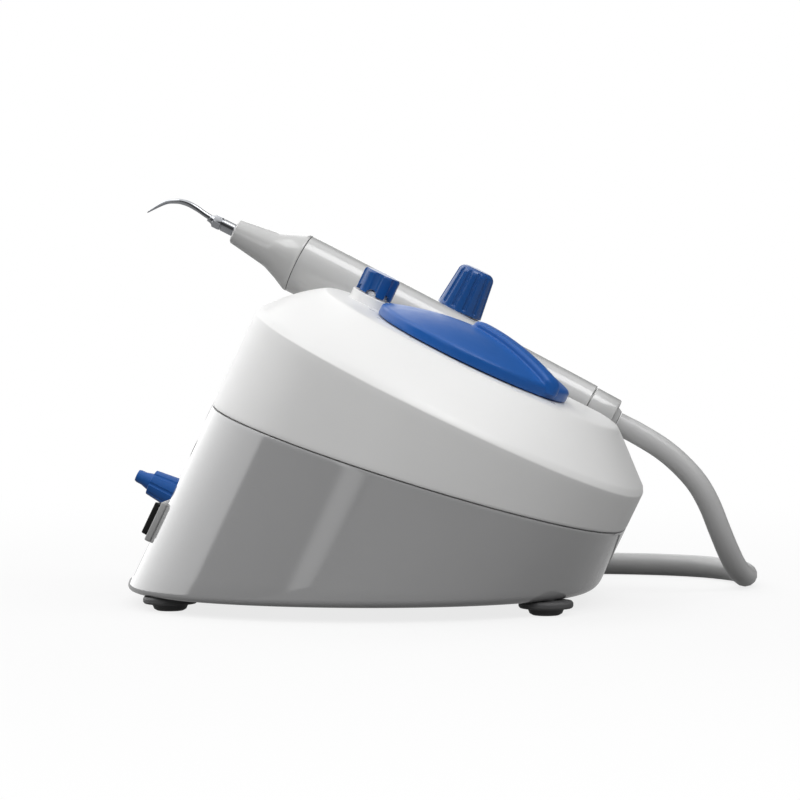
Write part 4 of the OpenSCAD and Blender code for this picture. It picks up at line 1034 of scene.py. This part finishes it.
# Stage: a white floor that fades into the white room around it, and soft lamps
def make_stage():
    """Cameras and mirrors see a floor that fades to white; soft light meets a dull one"""
    nothing_selected()
    bpy.ops.mesh.primitive_plane_add(size=8, location=(0, 0, 0))
    floor = bpy.context.object
    floor.name = "floor"
    mat = bpy.data.materials.new("floor_paint")
    mat.use_nodes = True
    tree = mat.node_tree
    tree.nodes.clear()
    out = add_node(tree, "OutputMaterial")
    paint = add_node(tree, "BsdfDiffuse", Color=grey(0.8))
    dull = add_node(tree, "BsdfDiffuse", Color=grey(0.15))
    glow = add_node(tree, "Emission", Color=grey(1))
    ray = add_node(tree, "LightPath")
    level = add_node(tree, "MapRange", To_Min=0.35, To_Max=1)
    coord = add_node(tree, "TexCoord")
    away = add_node(tree, "VectorMath", "LENGTH")
    fade = add_node(tree, "MapRange", From_Min=0.08, From_Max=0.45, To_Min=0.8, To_Max=1)
    fade.interpolation_type = "SMOOTHSTEP"
    seen, blend = add_node(tree, "MixShader"), add_node(tree, "MixShader")
    link = tree.links.new
    link(ray.outputs["Is Camera Ray"], level.inputs["Value"])
    link(level.outputs["Result"], glow.inputs["Strength"])
    link(coord.outputs["Object"], away.inputs[0])
    link(away.outputs["Value"], fade.inputs["Value"])
    for shader, inputs in ((seen, (fade.outputs["Result"], paint.outputs[0], glow.outputs[0])),
                           (blend, (looking_ray(tree), dull.outputs[0], seen.outputs[0]))):
        for socket, source in zip(shader.inputs, inputs):
            link(source, socket)
    link(blend.outputs[0], out.inputs[0])
    floor.data.materials.append(mat)


def looking_ray(tree):
    """1 for rays from the camera and for those that a mirror or a clear piece sends on"""
    ray = add_node(tree, "LightPath")
    seen = ray.outputs["Is Camera Ray"]
    for kind in ("Is Glossy Ray", "Is Transmission Ray"):
        either = add_node(tree, "Math", "MAXIMUM")
        tree.links.new(seen, either.inputs[0])
        tree.links.new(ray.outputs[kind], either.inputs[1])
        seen = either.outputs[0]
    return seen


def area_lamp(name, turned_by, height, distance, size, power, mirrored=True):
    """Soft lamp aimed at the object; turned_by is its bearing from the camera's side, in degrees"""
    bearing, rise = math.radians(turned_by), math.radians(height)
    aim = Vector((0, 0, 0.06))
    away = Vector((math.sin(bearing) * math.cos(rise), -math.cos(bearing) * math.cos(rise), math.sin(rise)))
    data = bpy.data.lights.new(name, "AREA")
    data.shape = "RECTANGLE"
    data.size, data.size_y = size
    data.energy = power
    lamp = bpy.data.objects.new(name, data)
    lamp.location = aim + distance * away
    lamp.rotation_euler = (-away).to_track_quat("-Z", "Y").to_euler()
    lamp.visible_glossy = mirrored
    bpy.context.scene.collection.objects.link(lamp)


def light_studio():
    area_lamp("left_high", -90, 60, 1.1, (0.7, 0.7), 2.9)
    area_lamp("top_soft", 0, 80, 1.1, (1.0, 1.0), 0.7)
    area_lamp("behind_high", 180, 50, 1.1, (0.9, 0.6), 2.2, mirrored=False)
    area_lamp("right_high", 72, 60, 1.1, (0.5, 0.6), 3.3)
    area_lamp("right_low", 80, 22, 1.1, (0.8, 0.8), 2.4, mirrored=False)
    area_lamp("left_behind", -138, 14, 1.1, (1.1, 0.9), 6, mirrored=False)
    area_lamp("front_fill", -6, 37, 1.6, (1.6, 0.8), 12, mirrored=False)
    light_room()


# What glossy plastic and metal mirror, by bearing from the camera's side: a pale wall on the left,
# a narrow strip in front on the left, and a dim room elsewhere
mirrored_room = [(-180, 0.8), (-178, 1.3), (-175, 1.8), (-171, 1.2), (-167, 0.6), (-156, 1.8), (-110, 2.1),
                 (-79, 1.9), (-76, 0.12), (-29, 0.12), (-26, 1.3), (-20, 1.3), (-17, 0.1), (60, 0.08),
                 (140, 0.1), (168, 0.06), (174, 0.15), (178, 0.45), (180, 0.8)]


def light_room():
    """A dim room for soft light, the mirrored room for reflections, and white where the camera looks"""
    world = bpy.data.worlds.new("studio")
    bpy.context.scene.world = world
    world.use_nodes = True
    tree = world.node_tree
    tree.nodes.clear()
    out = add_node(tree, "OutputWorld")
    room = add_node(tree, "Background", Color=grey(1), Strength=0.12)
    mirrored = add_node(tree, "Background", Color=grey(1))
    seen = add_node(tree, "Background", Color=grey(1), Strength=1)
    direction = add_node(tree, "TexCoord")
    parts = add_node(tree, "SeparateXYZ")
    front = add_node(tree, "Math", "MULTIPLY")
    front.inputs[1].default_value = -1
    bearing = add_node(tree, "Math", "ARCTAN2")
    span = add_node(tree, "MapRange", From_Min=-math.pi, From_Max=math.pi)
    wall_ramp = add_node(tree, "ValToRGB")
    stops = wall_ramp.color_ramp.elements
    for number, (degrees, level) in enumerate(mirrored_room):
        at = (degrees + 180) / 360
        stop = stops[number] if number < 2 else stops.new(at)
        stop.position = at
        stop.color = grey(level)
    ceiling = add_node(tree, "MapRange", From_Min=0.62, From_Max=0.88)
    lift = add_node(tree, "Mix")
    share, wall_level, ceiling_level = lift.inputs[0], lift.inputs[2], lift.inputs[3]
    ceiling_level.default_value = 1.3
    ray = add_node(tree, "LightPath")
    blend, final = add_node(tree, "MixShader"), add_node(tree, "MixShader")
    for source, socket in (
            (direction.outputs["Generated"], parts.inputs[0]), (parts.outputs["Y"], front.inputs[0]),
            (parts.outputs["X"], bearing.inputs[0]), (front.outputs[0], bearing.inputs[1]),
            (bearing.outputs[0], span.inputs["Value"]), (span.outputs["Result"], wall_ramp.inputs["Fac"]),
            (parts.outputs["Z"], ceiling.inputs["Value"]), (ceiling.outputs["Result"], share),
            (wall_ramp.outputs["Color"], wall_level), (lift.outputs[0], mirrored.inputs["Strength"]),
            (looking_ray(tree), blend.inputs[0]), (room.outputs[0], blend.inputs[1]),
            (mirrored.outputs[0], blend.inputs[2]), (ray.outputs["Is Camera Ray"], final.inputs[0]),
            (blend.outputs[0], final.inputs[1]), (seen.outputs[0], final.inputs[2]),
            (final.outputs[0], out.inputs[0])):
        tree.links.new(source, socket)


make_stage()
light_studio()
bpy.context.scene.view_settings.view_transform = "Standard"
